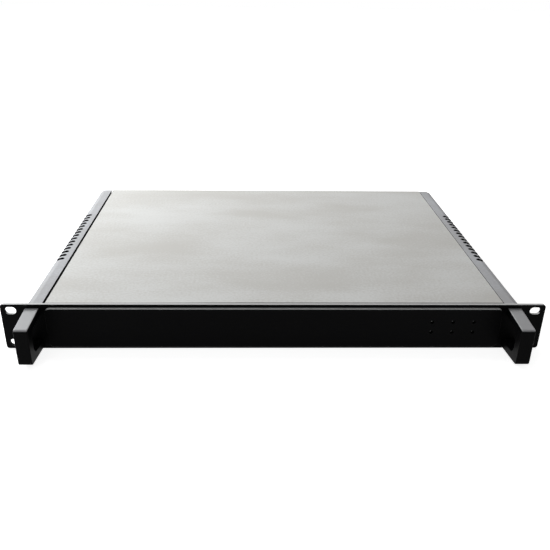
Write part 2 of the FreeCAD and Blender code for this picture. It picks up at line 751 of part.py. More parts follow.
def right_rail():
    """The folded side: flat top, bevelled corner with wrap-over vents, and a front flange."""
    path = [(RAIL_EDGE, TOP), (SIDE - BEVEL_WIDTH, TOP), (SIDE, TOP - BEVEL_DROP), (SIDE, BOTTOM)]
    rail = folded_sheet(path, RAIL_THICKNESS, in_xz(0), (0, BODY_DEPTH, 0))
    flange = box(
        (RAIL_EDGE, INNER_SIDE + SCREW_FIT),
        (0, RAIL_THICKNESS),
        (FLOOR, TOP - RAIL_THICKNESS + SCREW_FIT),
    )
    rail = fused([rail, flange])
    holes = [
        rod(
            M4.shank + SCREW_FIT, (HANDLE_X, 0, z), (HANDLE_X, RAIL_THICKNESS, z),
        ) for z in HANDLE_SCREW_Z
    ]
    holes += [
        placed(flat_form(2 * RAIL_THICKNESS, SCREW_FIT), (SIDE, y, side_screw_z()), (1, 0, 0))
        for y in SIDE_SCREW_Y
    ]
    return rail.cut(vent_cutters() + holes)


def psu_screw_places():
    """The centres (x, y) of the flush screws under the power supply."""
    return [
        (x, y) for x in (PSU_X[0] + PSU_SCREW_INSET, PSU_X[1] - PSU_SCREW_INSET)
        for y in (PSU_FRONT + PSU_SCREW_INSET, REAR_IN - PSU_SCREW_INSET)
    ]


def flush_screws():
    """The flush screws that join the rails to the tray and hold the power supply to its floor."""
    side_length = RAIL_THICKNESS + SHEET + STUD_TAIL
    sides = [
        placed(flat_screw(side_length), (side * SIDE, y, side_screw_z()), (side, 0, 0))
        for side in (-1, 1) for y in SIDE_SCREW_Y
    ]
    floor = [
        placed(flat_screw(SHEET + PSU_WALL), (x, y, BOTTOM), (0, 0, -1)) for x, y in psu_screw_places()
    ]
    return Part.Compound(sides + floor)


def base_tray():
    """The floor sheet with its side flanges and the front wall that carries the cover's front edge."""
    floor_path = [
        (INNER_SIDE, BOTTOM + TRAY_FLANGE), (INNER_SIDE, BOTTOM), (-INNER_SIDE, BOTTOM), (
            -INNER_SIDE, BOTTOM + TRAY_FLANGE,
        )
    ]
    floor = folded_sheet(floor_path, SHEET, in_xz(0), (0, REAR_OUT, 0))
    half_wall = FRONT_WALL_WIDTH / 2
    wall_path = [(0, BOTTOM), (0, LEDGE_TOP), (LEDGE_DEPTH, LEDGE_TOP)]
    wall = folded_sheet(wall_path, SHEET, in_yz(-half_wall), (FRONT_WALL_WIDTH, 0, 0))
    tray = fused([floor, wall])
    cutters = front_holes((0, SHEET))
    for side in (-1, 1):
        corner_x = sorted((side * (half_wall + SCREW_FIT), side * SIDE))
        clear_y = RAIL_THICKNESS + M4.head_height + SCREW_FIT
        cutters.append(box(corner_x, (0, clear_y), (FLOOR, BOTTOM + 2 * TRAY_FLANGE)))
        for y in SIDE_SCREW_Y:
            start = (side * (INNER_SIDE - 2 * SHEET), y, side_screw_z())
            cutters.append(rod(M3.shank + SCREW_FIT, start, (side * INNER_SIDE, y, side_screw_z())))
    cutters += [
        placed(flat_form(2 * SHEET, SCREW_FIT), (x, y, BOTTOM), (0, 0, -1))
        for x, y in psu_screw_places()
    ]
    return tray.cut(cutters)


def cover_screw_places():
    """The centres (x, z) of the cover's rear screws."""
    return [(side * COVER_TAB_X, TOP - COVER_TAB_HEIGHT + COVER_TAB_WIDTH / 2) for side in (-1, 1)]


def slot_cover_screw_places():
    """The centres (x, z) of the screws at the two ends of the slot cover."""
    height = (SLOT_COVER_Z[0] + SLOT_COVER_Z[1]) / 2
    return [
        (SLOT_COVER_X[0] - SLOT_COVER_MARGIN / 2, height),
        (SLOT_COVER_X[1] + SLOT_COVER_MARGIN / 2, height),
    ]


def shield_z():
    """The low and high edges of the connector shield."""
    low = BOARD_TOP - SHIELD_OVERLAP - SHIELD_THICKNESS
    return (low, low + SHIELD_HEIGHT)


def rear_panel():
    """The rear sheet with its ledge, foot and openings."""
    path = [
        (
            REAR_OUT - LEDGE_DEPTH, LEDGE_TOP,
        ), (REAR_OUT, LEDGE_TOP), (REAR_OUT, FLOOR), (REAR_OUT - REAR_FOOT, FLOOR)
    ]
    panel = folded_sheet(path, SHEET, in_yz(-INNER_SIDE), (2 * INNER_SIDE, 0, 0))
    through = (REAR_IN - LEDGE_DEPTH, REAR_OUT)
    sheet_only = (REAR_IN, REAR_OUT)
    opening = PSU_OPENING_MARGIN
    shield_low, shield_high = shield_z()
    cutters = [
        box(
            (PSU_X[0] - MOVING_GAP, PSU_X[1] + MOVING_GAP),
            (REAR_IN - LEDGE_DEPTH, REAR_IN),
            (FLOOR, LEDGE_TOP),
        ),
        box((PSU_X[0] + opening, PSU_X[1] - opening), sheet_only, (FLOOR + opening, PSU_TOP - opening)),
        box((SHIELD_X[0] + SHIELD_OVERLAP, SHIELD_X[1] - SHIELD_OVERLAP), sheet_only,
            (shield_low + SHIELD_OVERLAP, shield_high - SHIELD_OVERLAP)),
        box(SLOT_COVER_X, sheet_only, SLOT_COVER_Z),
    ]
    runner_width = RUNNER_INSET + RUNNER_STEP + RUNNER_WELD
    lip_room_x = min(-COVER_LEFT, COVER_RIGHT) - runner_width - MOVING_GAP
    foot_room = BEND_RADIUS + SCREW_FIT
    for side in (-1, 1):
        cutters.append(
            box(sorted((side * lip_room_x, side * SIDE)), through, (LIP_BOTTOM - MOVING_GAP, TOP))
        )
        flange_x = sorted((side * (INNER_SIDE - SHEET - SCREW_FIT), side * SIDE))
        cutters.append(box(flange_x, through, (FLOOR, BOTTOM + TRAY_FLANGE + SCREW_FIT)))
        corner_x = sorted((side * (INNER_SIDE - SHEET - foot_room), side * SIDE))
        cutters.append(box(corner_x, (REAR_OUT - REAR_FOOT, REAR_IN), (FLOOR, FLOOR + SHEET)))
    holes = cover_screw_places() + slot_cover_screw_places()
    cutters += [rod(M3.shank + SCREW_FIT, (x, REAR_IN, z), (x, REAR_OUT, z)) for x, z in holes]
    vent_low = FLOOR + REAR_VENT_MARGIN
    vent_high = LEDGE_TOP - REAR_VENT_MARGIN
    count = int((REAR_VENT_X[1] - REAR_VENT_X[0]) / REAR_VENT_PITCH) + 1
    for index in range(count):
        x = REAR_VENT_X[0] + index * REAR_VENT_PITCH
        cutters += [
            rod(REAR_VENT_WIDTH / 2, (x, REAR_IN, z), (x, REAR_OUT, z)) for z in (vent_low, vent_high)
        ]
        cutters.append(
            box((x - REAR_VENT_WIDTH / 2, x + REAR_VENT_WIDTH / 2), sheet_only, (vent_low, vent_high))
        )
    return panel.cut(cutters)


def slot_cover():
    """The blank plate over the unused expansion slot."""
    plate = box(
        (SLOT_COVER_X[0] - SLOT_COVER_MARGIN, SLOT_COVER_X[1] + SLOT_COVER_MARGIN),
        (REAR_IN - SLOT_COVER_THICKNESS, REAR_IN),
        (SLOT_COVER_Z[0] - SHIELD_OVERLAP, SLOT_COVER_Z[1] + SHIELD_OVERLAP),
    )
    holes = [rod(M3.shank + SCREW_FIT, (x, 0, z), (x, REAR_IN, z)) for x, z in slot_cover_screw_places()]
    return plate.cut(holes)


def slot_cover_screws():
    """The two screws of the slot cover."""
    length = SHEET + SLOT_COVER_THICKNESS + STUD_TAIL
    return Part.Compound([
        placed(pan_screw(M3, length), (x, REAR_OUT, z), (0, 1, 0)) for x, z in slot_cover_screw_places()
    ])


def cover_runner(edge, side):
    """A stepped strip welded under a side edge of the cover, which slides beneath the rail's top."""
    inner = edge - side * (RUNNER_INSET + RUNNER_STEP + RUNNER_WELD)
    path = [
        (inner, COVER_UNDER),
        (edge - side * (RUNNER_INSET + RUNNER_STEP), COVER_UNDER),
        (edge - side * RUNNER_INSET, LIP_TOP),
        (edge + side * RUNNER_REACH, LIP_TOP),
    ]
    length = REAR_IN - RUNNER_REAR - RUNNER_FRONT
    return folded_sheet(sorted(path), SHEET, in_xz(RUNNER_FRONT), (0, length, 0))


def top_cover():
    """The flush cover: two runners slide under the rails and two rear tabs take its screws."""
    sheet = box((COVER_LEFT, COVER_RIGHT), (COVER_FRONT_GAP, COVER_REAR), (COVER_UNDER, TOP))
    runners = [cover_runner(COVER_LEFT, -1), cover_runner(COVER_RIGHT, 1)]
    tabs = [
        box(
            (x - COVER_TAB_WIDTH / 2, x + COVER_TAB_WIDTH / 2),
            (COVER_REAR - SHEET, COVER_REAR),
            (TOP - COVER_TAB_HEIGHT, TOP),
        )
        for x, z in cover_screw_places()
    ]
    cover = fused([sheet] + runners + tabs)
    return cover.cut(
        [
            rod(M3.shank + SCREW_FIT, (x, REAR_OUT, z), (x, COVER_REAR, z))
            for x, z in cover_screw_places()
        ]
    )


def cover_screws():
    """The captive screws in the cover's rear tabs."""
    length = SHEET + MOVING_GAP + SHEET + NUT_HEIGHT
    return Part.Compound(
        [placed(pan_screw(M3, length), (x, COVER_REAR, z), (0, 1, 0)) for x, z in cover_screw_places()]
    )


def panel_nuts():
    """The nuts on the front plate's studs and those pressed into the rear panel for the cover."""
    front = [placed(nut(M3.shank), (x, SHEET, STUD_Z), (0, 1, 0)) for x in STUD_X]
    rear = [placed(nut(M3.shank), (x, REAR_IN, z), (0, -1, 0)) for x, z in cover_screw_places()]
    return Part.Compound(front + rear)


# ==== indicator board ============================================================================
def led_board_screw_places():
    """The centres (x, z) of the indicator board's two screws."""
    reach = LED_BOARD_SIZE[0] / 2 - LED_SPACER_INSET
    return [(LED_CENTRE_X + side * reach, LED_CENTRE_Z) for side in (-1, 1)]


def led_board():
    """The small board behind the front wall that carries the indicators."""
    half_width, half_height = LED_BOARD_SIZE[0] / 2, LED_BOARD_SIZE[1] / 2
    board = box(
        (LED_CENTRE_X - half_width, LED_CENTRE_X + half_width), (LED_BOARD_FRONT, LED_BOARD_REAR),
        (LED_CENTRE_Z - half_height, LED_CENTRE_Z + half_height),
    )
    holes = [
        rod(
            M3.shank + SCREW_FIT, (x, LED_BOARD_FRONT, z), (x, LED_BOARD_REAR, z),
        ) for x, z in led_board_screw_places()
    ]
    return board.cut(holes)


def status_leds():
    """The six indicators, each with a tapered tip inside its hole."""
    tip = PLATE_FRONT + LED_TIP_DEPTH
    leds = []
    for x, z in led_places():
        taper = placed(
            Part.makeCone(LED_RADIUS - LED_TIP_TAPER, LED_RADIUS, LED_TIP_TAPER), (x, tip, z), (0, 1, 0),
        )
        leds.append(
            fused([taper, rod(LED_RADIUS, (x, tip + LED_TIP_TAPER, z), (x, LED_BOARD_FRONT, z))])
        )
    return Part.Compound(leds)


# ==== main board =================================================================================
def board_hole_places():
    """The centres (x, y) of the main board's fixing holes."""
    return [
        (x, y) for x in (BOARD_LEFT + BOARD_HOLE_INSET, BOARD_LEFT + BOARD_WIDTH - BOARD_HOLE_INSET)
        for y in (BOARD_FRONT + BOARD_HOLE_INSET, BOARD_REAR - BOARD_HOLE_INSET)
    ]


def board_standoffs():
    """The hexagonal spacers under the main board and those that carry the indicator board."""
    bore = M3.shank + SCREW_FIT
    floor = [
        hex_prism(STANDOFF_RADIUS, FLOOR, STANDOFF_HEIGHT).cut(
            Part.makeCylinder(bore, STANDOFF_HEIGHT, Vector(0, 0, FLOOR))
        )
        .translated(Vector(x, y, 0)) for x, y in board_hole_places()
    ]
    spacer = hex_prism(STANDOFF_RADIUS, 0, LED_BOARD_GAP).cut(Part.makeCylinder(bore, LED_BOARD_GAP))
    front = [placed(spacer, (x, SHEET, z), (0, 1, 0)) for x, z in led_board_screw_places()]
    return Part.Compound(floor + front)


def board_screws():
    """The screws of the main board and of the indicator board."""
    length = BOARD_THICKNESS + LED_BOARD_GAP - STUD_TAIL
    main = [placed(pan_screw(M3, length), (x, y, BOARD_TOP), (0, 0, 1)) for x, y in board_hole_places()]
    indicator = [
        placed(pan_screw(M3, length), (x, LED_BOARD_REAR, z), (0, 1, 0))
        for x, z in led_board_screw_places()
    ]
    return Part.Compound(main + indicator)


def sink_screw_places():
    """The centres (x, y) of the heat sink's four screws."""
    reach = SINK_SIZE / 2 - SINK_SCREW_INSET
    return [(PROCESSOR_X + i * reach, PROCESSOR_Y + j * reach) for i in (-1, 1) for j in (-1, 1)]


def main_board():
    """The main circuit board with its fixing holes."""
    board = box(
        (BOARD_LEFT, BOARD_LEFT + BOARD_WIDTH), (BOARD_FRONT, BOARD_REAR), (BOARD_UNDER, BOARD_TOP),
    )
    places = board_hole_places() + sink_screw_places()
    return board.cut(
        [rod(M3.shank + SCREW_FIT, (x, y, BOARD_UNDER), (x, y, BOARD_TOP)) for x, y in places]
    )


def board_place(from_left, from_rear):
    """The x and y of a place on the main board."""
    return (BOARD_LEFT + from_left, BOARD_REAR - from_rear)


def on_board(x, y, size, corner=0.0):
    """A block standing on the main board, centred on x and y."""
    width, length, height = size
    block = box(
        (x - width / 2, x + width / 2), (y - length / 2, y + length / 2), (BOARD_TOP, BOARD_TOP + height),
    )
    return block.makeChamfer(corner, straight_edges(block, (0, 0, 1))) if corner else block


def header_shell(place, size, depth, rows):
    """An open-topped connector shell on the main board with two columns of contacts."""
    x, y = board_place(*place)
    width, length, height = size
    wall = HEADER_WALL
    shell = on_board(x, y, size)
    pocket = box(
        (x - width / 2 + wall, x + width / 2 - wall), (y - length / 2 + wall, y + length / 2 - wall),
        (BOARD_TOP + height - depth, BOARD_TOP + height),
    )
    pitch = (length - 2 * wall) / rows
    pin_span = (BOARD_TOP + height - depth - PIN_HALF, BOARD_TOP + height - wall)
    pins = []
    for side in (-1, 1):
        pin_x = x + side * width / 5
        for row in range(rows):
            pin_y = y + (row - (rows - 1) / 2) * pitch
            pins.append(
                box((pin_x - PIN_HALF, pin_x + PIN_HALF), (pin_y - PIN_HALF, pin_y + PIN_HALF), pin_span)
            )
    return fused([shell.cut(pocket)] + pins)


def board_components():
    """The coils, capacitors, chips, battery and headers soldered to the main board."""
    coils = []
    capacitors = []
    for number in range(COIL_COUNT):
        x, y = board_place(*COIL_PLACE)
        coils.append(on_board(x, y + number * COIL_PITCH, COIL_SIZE, COIL_CORNER))
        x, y = board_place(*CAPACITOR_PLACE)
        base = Vector(x, y + number * COIL_PITCH, BOARD_TOP)
        capacitors.append(Part.makeCylinder(CAPACITOR_RADIUS, CAPACITOR_HEIGHT, base))
    chips = [on_board(*board_place(*place), (side, side, CHIP_HEIGHT)) for place, side in BOARD_CHIPS]
    battery = Part.makeCylinder(
        BATTERY_RADIUS, BATTERY_HEIGHT, Vector(*board_place(*BATTERY_PLACE), BOARD_TOP),
    )
    signal_header = header_shell(
        SIGNAL_HEADER_PLACE, SIGNAL_HEADER_SIZE, HEADER_DEPTH / 2, SIGNAL_HEADER_ROWS,
    )
    power_header = header_shell(POWER_HEADER_PLACE, POWER_HEADER_SIZE, HEADER_DEPTH, POWER_HEADER_ROWS)
    drive_header = on_board(*board_place(*DRIVE_HEADER_PLACE), DRIVE_HEADER_SIZE)
    mouth_x, ys = drive_header_mouths()
    for y in ys:
        drive_header = drive_header.cut(
            box((mouth_x, mouth_x + HEADER_DEPTH), (y - DATA_PLUG_HALF, y + DATA_PLUG_HALF),
                (BOARD_TOP + HEADER_WALL, BOARD_TOP + DRIVE_HEADER_SIZE[2] - HEADER_WALL))
        )
    return Part.Compound(
        coils + capacitors + chips + [battery, signal_header, power_header, drive_header]
    )


def drive_header_mouths():
    """The face's x and the centres, along Y, of the two mouths of the drive connector."""
    x, y = board_place(*DRIVE_HEADER_PLACE)
    return x - DRIVE_HEADER_SIZE[0] / 2, [y + side * DRIVE_HEADER_SIZE[1] / 4 for side in (1, -1)]


def processor():
    """The soldered processor: substrate and heat spreader."""
    substrate = on_board(
        PROCESSOR_X, PROCESSOR_Y, (PROCESSOR_SIZE, PROCESSOR_SIZE, PROCESSOR_HEIGHT / 2),
    )
    spreader_size = PROCESSOR_SIZE - 2 * SPREADER_MARGIN
    spreader = on_board(
        PROCESSOR_X, PROCESSOR_Y, (spreader_size, spreader_size, PROCESSOR_HEIGHT), SPREADER_MARGIN / 2,
    )
    return fused([substrate, spreader])


def heatsink():
    """The finned heat sink: air from the side fans runs along its fins."""
    base_z = BOARD_TOP + PROCESSOR_HEIGHT
    half = SINK_SIZE / 2
    x_span = (PROCESSOR_X - half, PROCESSOR_X + half)
    base = box(x_span, (PROCESSOR_Y - half, PROCESSOR_Y + half), (base_z, base_z + SINK_BASE))
    pitch = (SINK_SIZE - FIN_THICKNESS) / (FIN_COUNT - 1)
    fins = []
    for index in range(FIN_COUNT):
        y = PROCESSOR_Y - half + index * pitch
        fins.append(box(x_span, (y, y + FIN_THICKNESS), (base_z + SINK_BASE, base_z + SINK_HEIGHT)))
    sink = fused([base] + fins)
    cutters = []
    for x, y in sink_screw_places():
        cutters.append(rod(M3.shank + SCREW_FIT, (x, y, base_z), (x, y, base_z + SINK_BASE)))
        side_x = 1 if x > PROCESSOR_X else -1
        side_y = 1 if y > PROCESSOR_Y else -1
        corner_x = sorted((x - side_x * SINK_SCREW_INSET, PROCESSOR_X + side_x * half))
        corner_y = sorted((y - side_y * SINK_SCREW_INSET, PROCESSOR_Y + side_y * half))
        cutters.append(box(corner_x, corner_y, (base_z + SINK_BASE, base_z + SINK_HEIGHT)))
    return sink.cut(cutters)


def heatsink_screws():
    """The heat sink's screws and the nuts under the board."""
    seat = BOARD_TOP + PROCESSOR_HEIGHT + SINK_BASE
    length = seat - BOARD_UNDER + NUT_HEIGHT
    screws = [placed(pan_screw(M3, length), (x, y, seat), (0, 0, 1)) for x, y in sink_screw_places()]
    nuts = [placed(nut(M3.shank), (x, y, BOARD_UNDER), (0, 0, -1)) for x, y in sink_screw_places()]
    return Part.Compound(screws + nuts)


def expansion_socket():
    """The socket at the board's left edge for a riser card."""
    x, y = board_place(*EXPANSION_PLACE)
    socket = on_board(x, y, (EXPANSION_WIDTH, EXPANSION_LENGTH, EXPANSION_HEIGHT))
    start = y - EXPANSION_LENGTH / 2 + EXPANSION_END
    end = y + EXPANSION_LENGTH / 2 - EXPANSION_END
    key = start + EXPANSION_KEY
    slot_x = (x - EXPANSION_SLOT / 2, x + EXPANSION_SLOT / 2)
    slot_z = (BOARD_TOP + EXPANSION_HEIGHT / 4, BOARD_TOP + EXPANSION_HEIGHT)
    slots = [
        box(slot_x, (start, key - EXPANSION_SLOT / 2), slot_z),
        box(slot_x, (key + EXPANSION_SLOT / 2, end), slot_z),
    ]
    return socket.cut(slots)


# ==== memory =====================================================================================
def memory_y(index):
    """The place along Y of a memory socket."""
    return BOARD_FRONT + MEMORY_FROM_FRONT[index]


def module_end():
    """Half the length of the socket's slot, where the latches begin."""
    return MODULE_LENGTH / 2 + SOCKET_SLOT_ROOM


def latch_pivot(index, side):
    """The pivot point of a memory latch."""
    return (
        MEMORY_X + side * (module_end() + LATCH_PIVOT_REACH),
        memory_y(index),
        BOARD_TOP + LATCH_PIVOT_RISE,
    )


def memory_socket(index):
    """A memory socket: slot, end towers and the latches' pivot bores."""
    y = memory_y(index)
    end = module_end()
    half_width = SOCKET_WIDTH / 2
    y_span = (y - half_width, y + half_width)
    body = box((MEMORY_X - end, MEMORY_X + end), y_span, (BOARD_TOP, BOARD_TOP + SOCKET_HEIGHT))
    towers = [
        box(
            sorted((MEMORY_X + side * end, MEMORY_X + side * (end + TOWER_LENGTH))),
            y_span,
            (BOARD_TOP, BOARD_TOP + TOWER_HEIGHT),
        )
        for side in (-1, 1)
    ]
    socket = fused([body] + towers)
    half_slot = MODULE_THICKNESS / 2 + SOCKET_SLOT_ROOM
    cutters = [
        box(
            (MEMORY_X - end, MEMORY_X + end),
            (y - half_slot, y + half_slot),
            (BOARD_TOP + MODULE_SEAT, BOARD_TOP + TOWER_HEIGHT),
        )
    ]
    half_pocket = LATCH_THICKNESS / 2 + MOVING_GAP
    for side in (-1, 1):
        x_span = sorted((MEMORY_X + side * end, MEMORY_X + side * (end + TOWER_LENGTH)))
        cutters.append(
            box(
                x_span,
                (y - half_pocket, y + half_pocket),
                (BOARD_TOP + LATCH_FLOOR, BOARD_TOP + TOWER_HEIGHT),
            )
        )
        x, y, z = latch_pivot(index, side)
        cutters.append(
            rod(LATCH_PIN_RADIUS + RUNNING_FIT, (x, y - half_width, z), (x, y + half_width, z))
        )
    return socket.cut(cutters)


def memory_latch(index, side):
    """A latch: thumb pad, lever, nose in the module's notch and a pivot pin."""
    x, y, z = latch_pivot(index, side)
    half = LATCH_THICKNESS / 2
    nose_low = NOTCH_RISE + MOVING_GAP - LATCH_PIVOT_RISE
    nose_high = nose_low + LATCH_NOSE
    pad_low = LATCH_HEIGHT - LATCH_PIVOT_RISE - LATCH_PAD
    inner = -LATCH_PIVOT_REACH + MOVING_GAP
    outer = inner + LATCH_LENGTH
    nose = inner - MOVING_GAP - SOCKET_SLOT_ROOM - NOTCH_DEPTH + MOVING_GAP
    corners = [
        (inner, 0, 0), (inner, nose_low, 0), (nose, nose_low, 0), (inner, nose_high, 0),
        (inner, LATCH_HEIGHT - LATCH_PIVOT_RISE, LATCH_ROUND), (
            outer + LATCH_PAD / 2, LATCH_HEIGHT - LATCH_PIVOT_RISE, LATCH_ROUND,
        ),
        (
            outer + LATCH_PAD / 2, pad_low + LATCH_PAD / 2, LATCH_ROUND / 2,
        ), (outer - LATCH_ROUND, pad_low, LATCH_ROUND), (outer, 0, 0),
    ]
    lever = prism(corners, lambda u, v: Vector(x + side * u, y - half, z + v), (0, LATCH_THICKNESS, 0))
    foot = rod(min(-inner, outer), (x, y - half, z), (x, y + half, z))
    pin_half = SOCKET_WIDTH / 2 - LATCH_PIN_INSET
    pin = rod(LATCH_PIN_RADIUS, (x, y - pin_half, z), (x, y + pin_half, z))
    return fused([lever, foot, pin])


def memory_module(index):
    """A low memory module with chips on both faces and a notch at each end."""
    y = memory_y(index)
    low = BOARD_TOP + MODULE_SEAT
    half = MODULE_LENGTH / 2
    board = box(
        (MEMORY_X - half, MEMORY_X + half),
        (y - MODULE_THICKNESS / 2, y + MODULE_THICKNESS / 2),
        (low, low + MODULE_HEIGHT),
    )
    chip_z = low + MODULE_HEIGHT - CHIP_SIZE[1] - CHIP_MARGIN
    pitch = (MODULE_LENGTH - 4 * CHIP_MARGIN) / CHIP_COUNT
    reach = MODULE_THICKNESS / 2 + CHIP_THICKNESS
    chips = []
    for number in range(CHIP_COUNT):
        x = MEMORY_X + (number - (CHIP_COUNT - 1) / 2) * pitch
        chips.append(
            box(
                (x - CHIP_SIZE[0] / 2, x + CHIP_SIZE[0] / 2),
                (y - reach, y + reach),
                (chip_z, chip_z + CHIP_SIZE[1]),
            )
        )
    notches = [
        box(sorted((MEMORY_X + side * (half - NOTCH_DEPTH), MEMORY_X + side * half)), (
            y - reach, y + reach,
        ),
            (BOARD_TOP + NOTCH_RISE, BOARD_TOP + NOTCH_RISE + NOTCH_HEIGHT))
        for side in (-1, 1)
    ]
    return fused([board] + chips).cut(notches)


# ==== rear connectors ============================================================================
def port_cutouts():
    """The openings of the connector shield: centre x, width and height above the board."""
    cutouts = [(x, DSUB_WIDTH, DSUB_HEIGHT) for x in (SERIAL_X, VIDEO_X)]
    cutouts += [(x, USB_WIDTH, USB_HEIGHT) for x in USB_X]
    cutouts += [(x, LAN_WIDTH, LAN_HEIGHT) for x in LAN_X]
    return cutouts


def io_shield():
    """The thin plate round the rear connectors."""
    low, high = shield_z()
    shield = box(SHIELD_X, (REAR_IN - SHIELD_THICKNESS, REAR_IN), (low, high))
    cutters = [
        box((x - width / 2 - PORT_ROOM, x + width / 2 + PORT_ROOM), (
            REAR_IN - SHIELD_THICKNESS, REAR_IN,
        ),
            (BOARD_TOP - PORT_ROOM, BOARD_TOP + height + PORT_ROOM))
        for x, width, height in port_cutouts()
    ]
    return shield.cut(cutters)


def d_shape(x, z, width, height, y, run):
    """A D-shaped bar along +Y, narrower at the bottom."""
    half = width / 2
    slope = height * math.tan(math.radians(DSUB_SLOPE))
    corners = [
        (x - half + slope, z - height / 2, DSUB_CORNER), (x + half - slope, z - height / 2, DSUB_CORNER),
        (x + half, z + height / 2, DSUB_CORNER), (x - half, z + height / 2, DSUB_CORNER),
    ]
    return prism(corners, in_xz(y), (0, run, 0))


def d_connector(x, rows, pins_out):
    """A D-shaped connector: flange, shell, two hex posts and its rows of pins or holes."""
    z = BOARD_TOP + DSUB_HEIGHT / 2
    flange_rear = REAR_IN
    body = box(
        (
            x - DSUB_WIDTH / 2, x + DSUB_WIDTH / 2,
        ), (flange_rear - DSUB_DEPTH, flange_rear), (BOARD_TOP, BOARD_TOP + DSUB_HEIGHT)
    )
    shell = d_shape(x, z, DSUB_SHELL_WIDTH, DSUB_SHELL_HEIGHT, flange_rear, DSUB_SHELL_LENGTH)
    posts = [
        placed(
            hex_prism(DSUB_POST_RADIUS, 0, DSUB_SHELL_LENGTH),
            (x + side * DSUB_NUT_X, flange_rear, z),
            (0, 1, 0),
        )
        for side in (-1, 1)
    ]
    connector = fused([body, shell] + posts)
    cutters = [
        rod(
            M3.shank / 2,
            (x + side * DSUB_NUT_X, flange_rear, z),
            (x + side * DSUB_NUT_X, flange_rear + DSUB_SHELL_LENGTH, z),
        )
        for side in (-1, 1)
    ]
    room = DSUB_SHELL_HEIGHT - 2 * DSUB_SHELL_WALL
    if pins_out:
        cutters.append(
            d_shape(x, z, DSUB_SHELL_WIDTH - 2 * DSUB_SHELL_WALL, room, flange_rear, DSUB_SHELL_LENGTH)
        )
    connector = connector.cut(cutters)
    pitch_z = room / (len(rows) + 1)
    contacts = []
    for row, count in enumerate(rows):
        for number in range(count):
            pin_x = x + (number - (count - 1) / 2) * DSUB_PIN_PITCH
            pin_z = z + ((len(rows) - 1) / 2 - row) * pitch_z
            half = PIN_HALF if pins_out else PIN_HALF * 1.5
            contacts.append(box(
                (pin_x - half, pin_x + half), (
                    flange_rear, flange_rear + DSUB_SHELL_LENGTH - PIN_HALF,
                ), (pin_z - half, pin_z + half)
            ))
    if pins_out:
        return fused([connector] + contacts)
    return connector.cut([contact.translated(Vector(0, PIN_HALF, 0)) for contact in contacts])


def d_sub_ports():
    """The serial port with its pins and the video port with its holes."""
    return Part.Compound([d_connector(SERIAL_X, (5, 4), True), d_connector(VIDEO_X, (5, 5, 5), False)])


def usb_stack(x):
    """Two stacked USB sockets in one shell, each with its tongue."""
    front = PORT_REAR - USB_DEPTH
    shell = box(
        (x - USB_WIDTH / 2, x + USB_WIDTH / 2), (front, PORT_REAR), (BOARD_TOP, BOARD_TOP + USB_HEIGHT),
    )
    mouths = []
    tongues = []
    for level in (-1, 1):
        z = BOARD_TOP + USB_HEIGHT / 2 + level * USB_HEIGHT / 4
        x_half = USB_MOUTH_WIDTH / 2
        mouths.append(box(
            (x - x_half, x + x_half), (PORT_REAR - USB_MOUTH_DEPTH, PORT_REAR), (
                z - USB_MOUTH_HEIGHT / 2, z + USB_MOUTH_HEIGHT / 2,
            )
        ))
        tongue_top = z + USB_MOUTH_HEIGHT / 2 - USB_TONGUE_ROOM
        tongues.append(box(
            (x - x_half + USB_TONGUE_ROOM, x + x_half - USB_TONGUE_ROOM),
            (
                PORT_REAR - USB_MOUTH_DEPTH, PORT_REAR - USB_TONGUE_ROOM,
            ), (tongue_top - USB_TONGUE, tongue_top),
        ))
    return fused([shell.cut(mouths)] + tongues)


def usb_ports():
    """The two USB stacks."""
    return Part.Compound([usb_stack(x) for x in USB_X])


def lan_port(x):
    """A network socket with its latch recess and eight contacts."""
    shell = box(
        (x - LAN_WIDTH / 2, x + LAN_WIDTH / 2),
        (PORT_REAR - LAN_DEPTH, PORT_REAR),
        (BOARD_TOP, BOARD_TOP + LAN_HEIGHT),
    )
    low = BOARD_TOP + LAN_MOUTH_RISE
    mouth_front = PORT_REAR - LAN_MOUTH_DEPTH
    mouth = box(
        (x - LAN_MOUTH_WIDTH / 2, x + LAN_MOUTH_WIDTH / 2),
        (mouth_front, PORT_REAR),
        (low, low + LAN_MOUTH_HEIGHT),
    )
    recess = box(
        (
            x - LAN_LATCH_WIDTH / 2, x + LAN_LATCH_WIDTH / 2,
        ), (mouth_front, PORT_REAR), (low - LAN_LATCH_DEPTH, low)
    )
    contacts = []
    for number in range(LAN_CONTACTS):
        contact_x = x + (number - (LAN_CONTACTS - 1) / 2) * LAN_CONTACT_PITCH
        contacts.append(box(
            (contact_x - LAN_CONTACT_PITCH / 4, contact_x + LAN_CONTACT_PITCH / 4),
            (mouth_front, mouth_front + LAN_MOUTH_DEPTH / 2), (
                low + LAN_MOUTH_HEIGHT - LAN_CONTACT_DROP, low + LAN_MOUTH_HEIGHT,
            ),
        ))
    return fused([shell.cut([mouth, recess])] + contacts)


def lan_ports():
    """The two network sockets."""
    return Part.Compound([lan_port(x) for x in LAN_X])


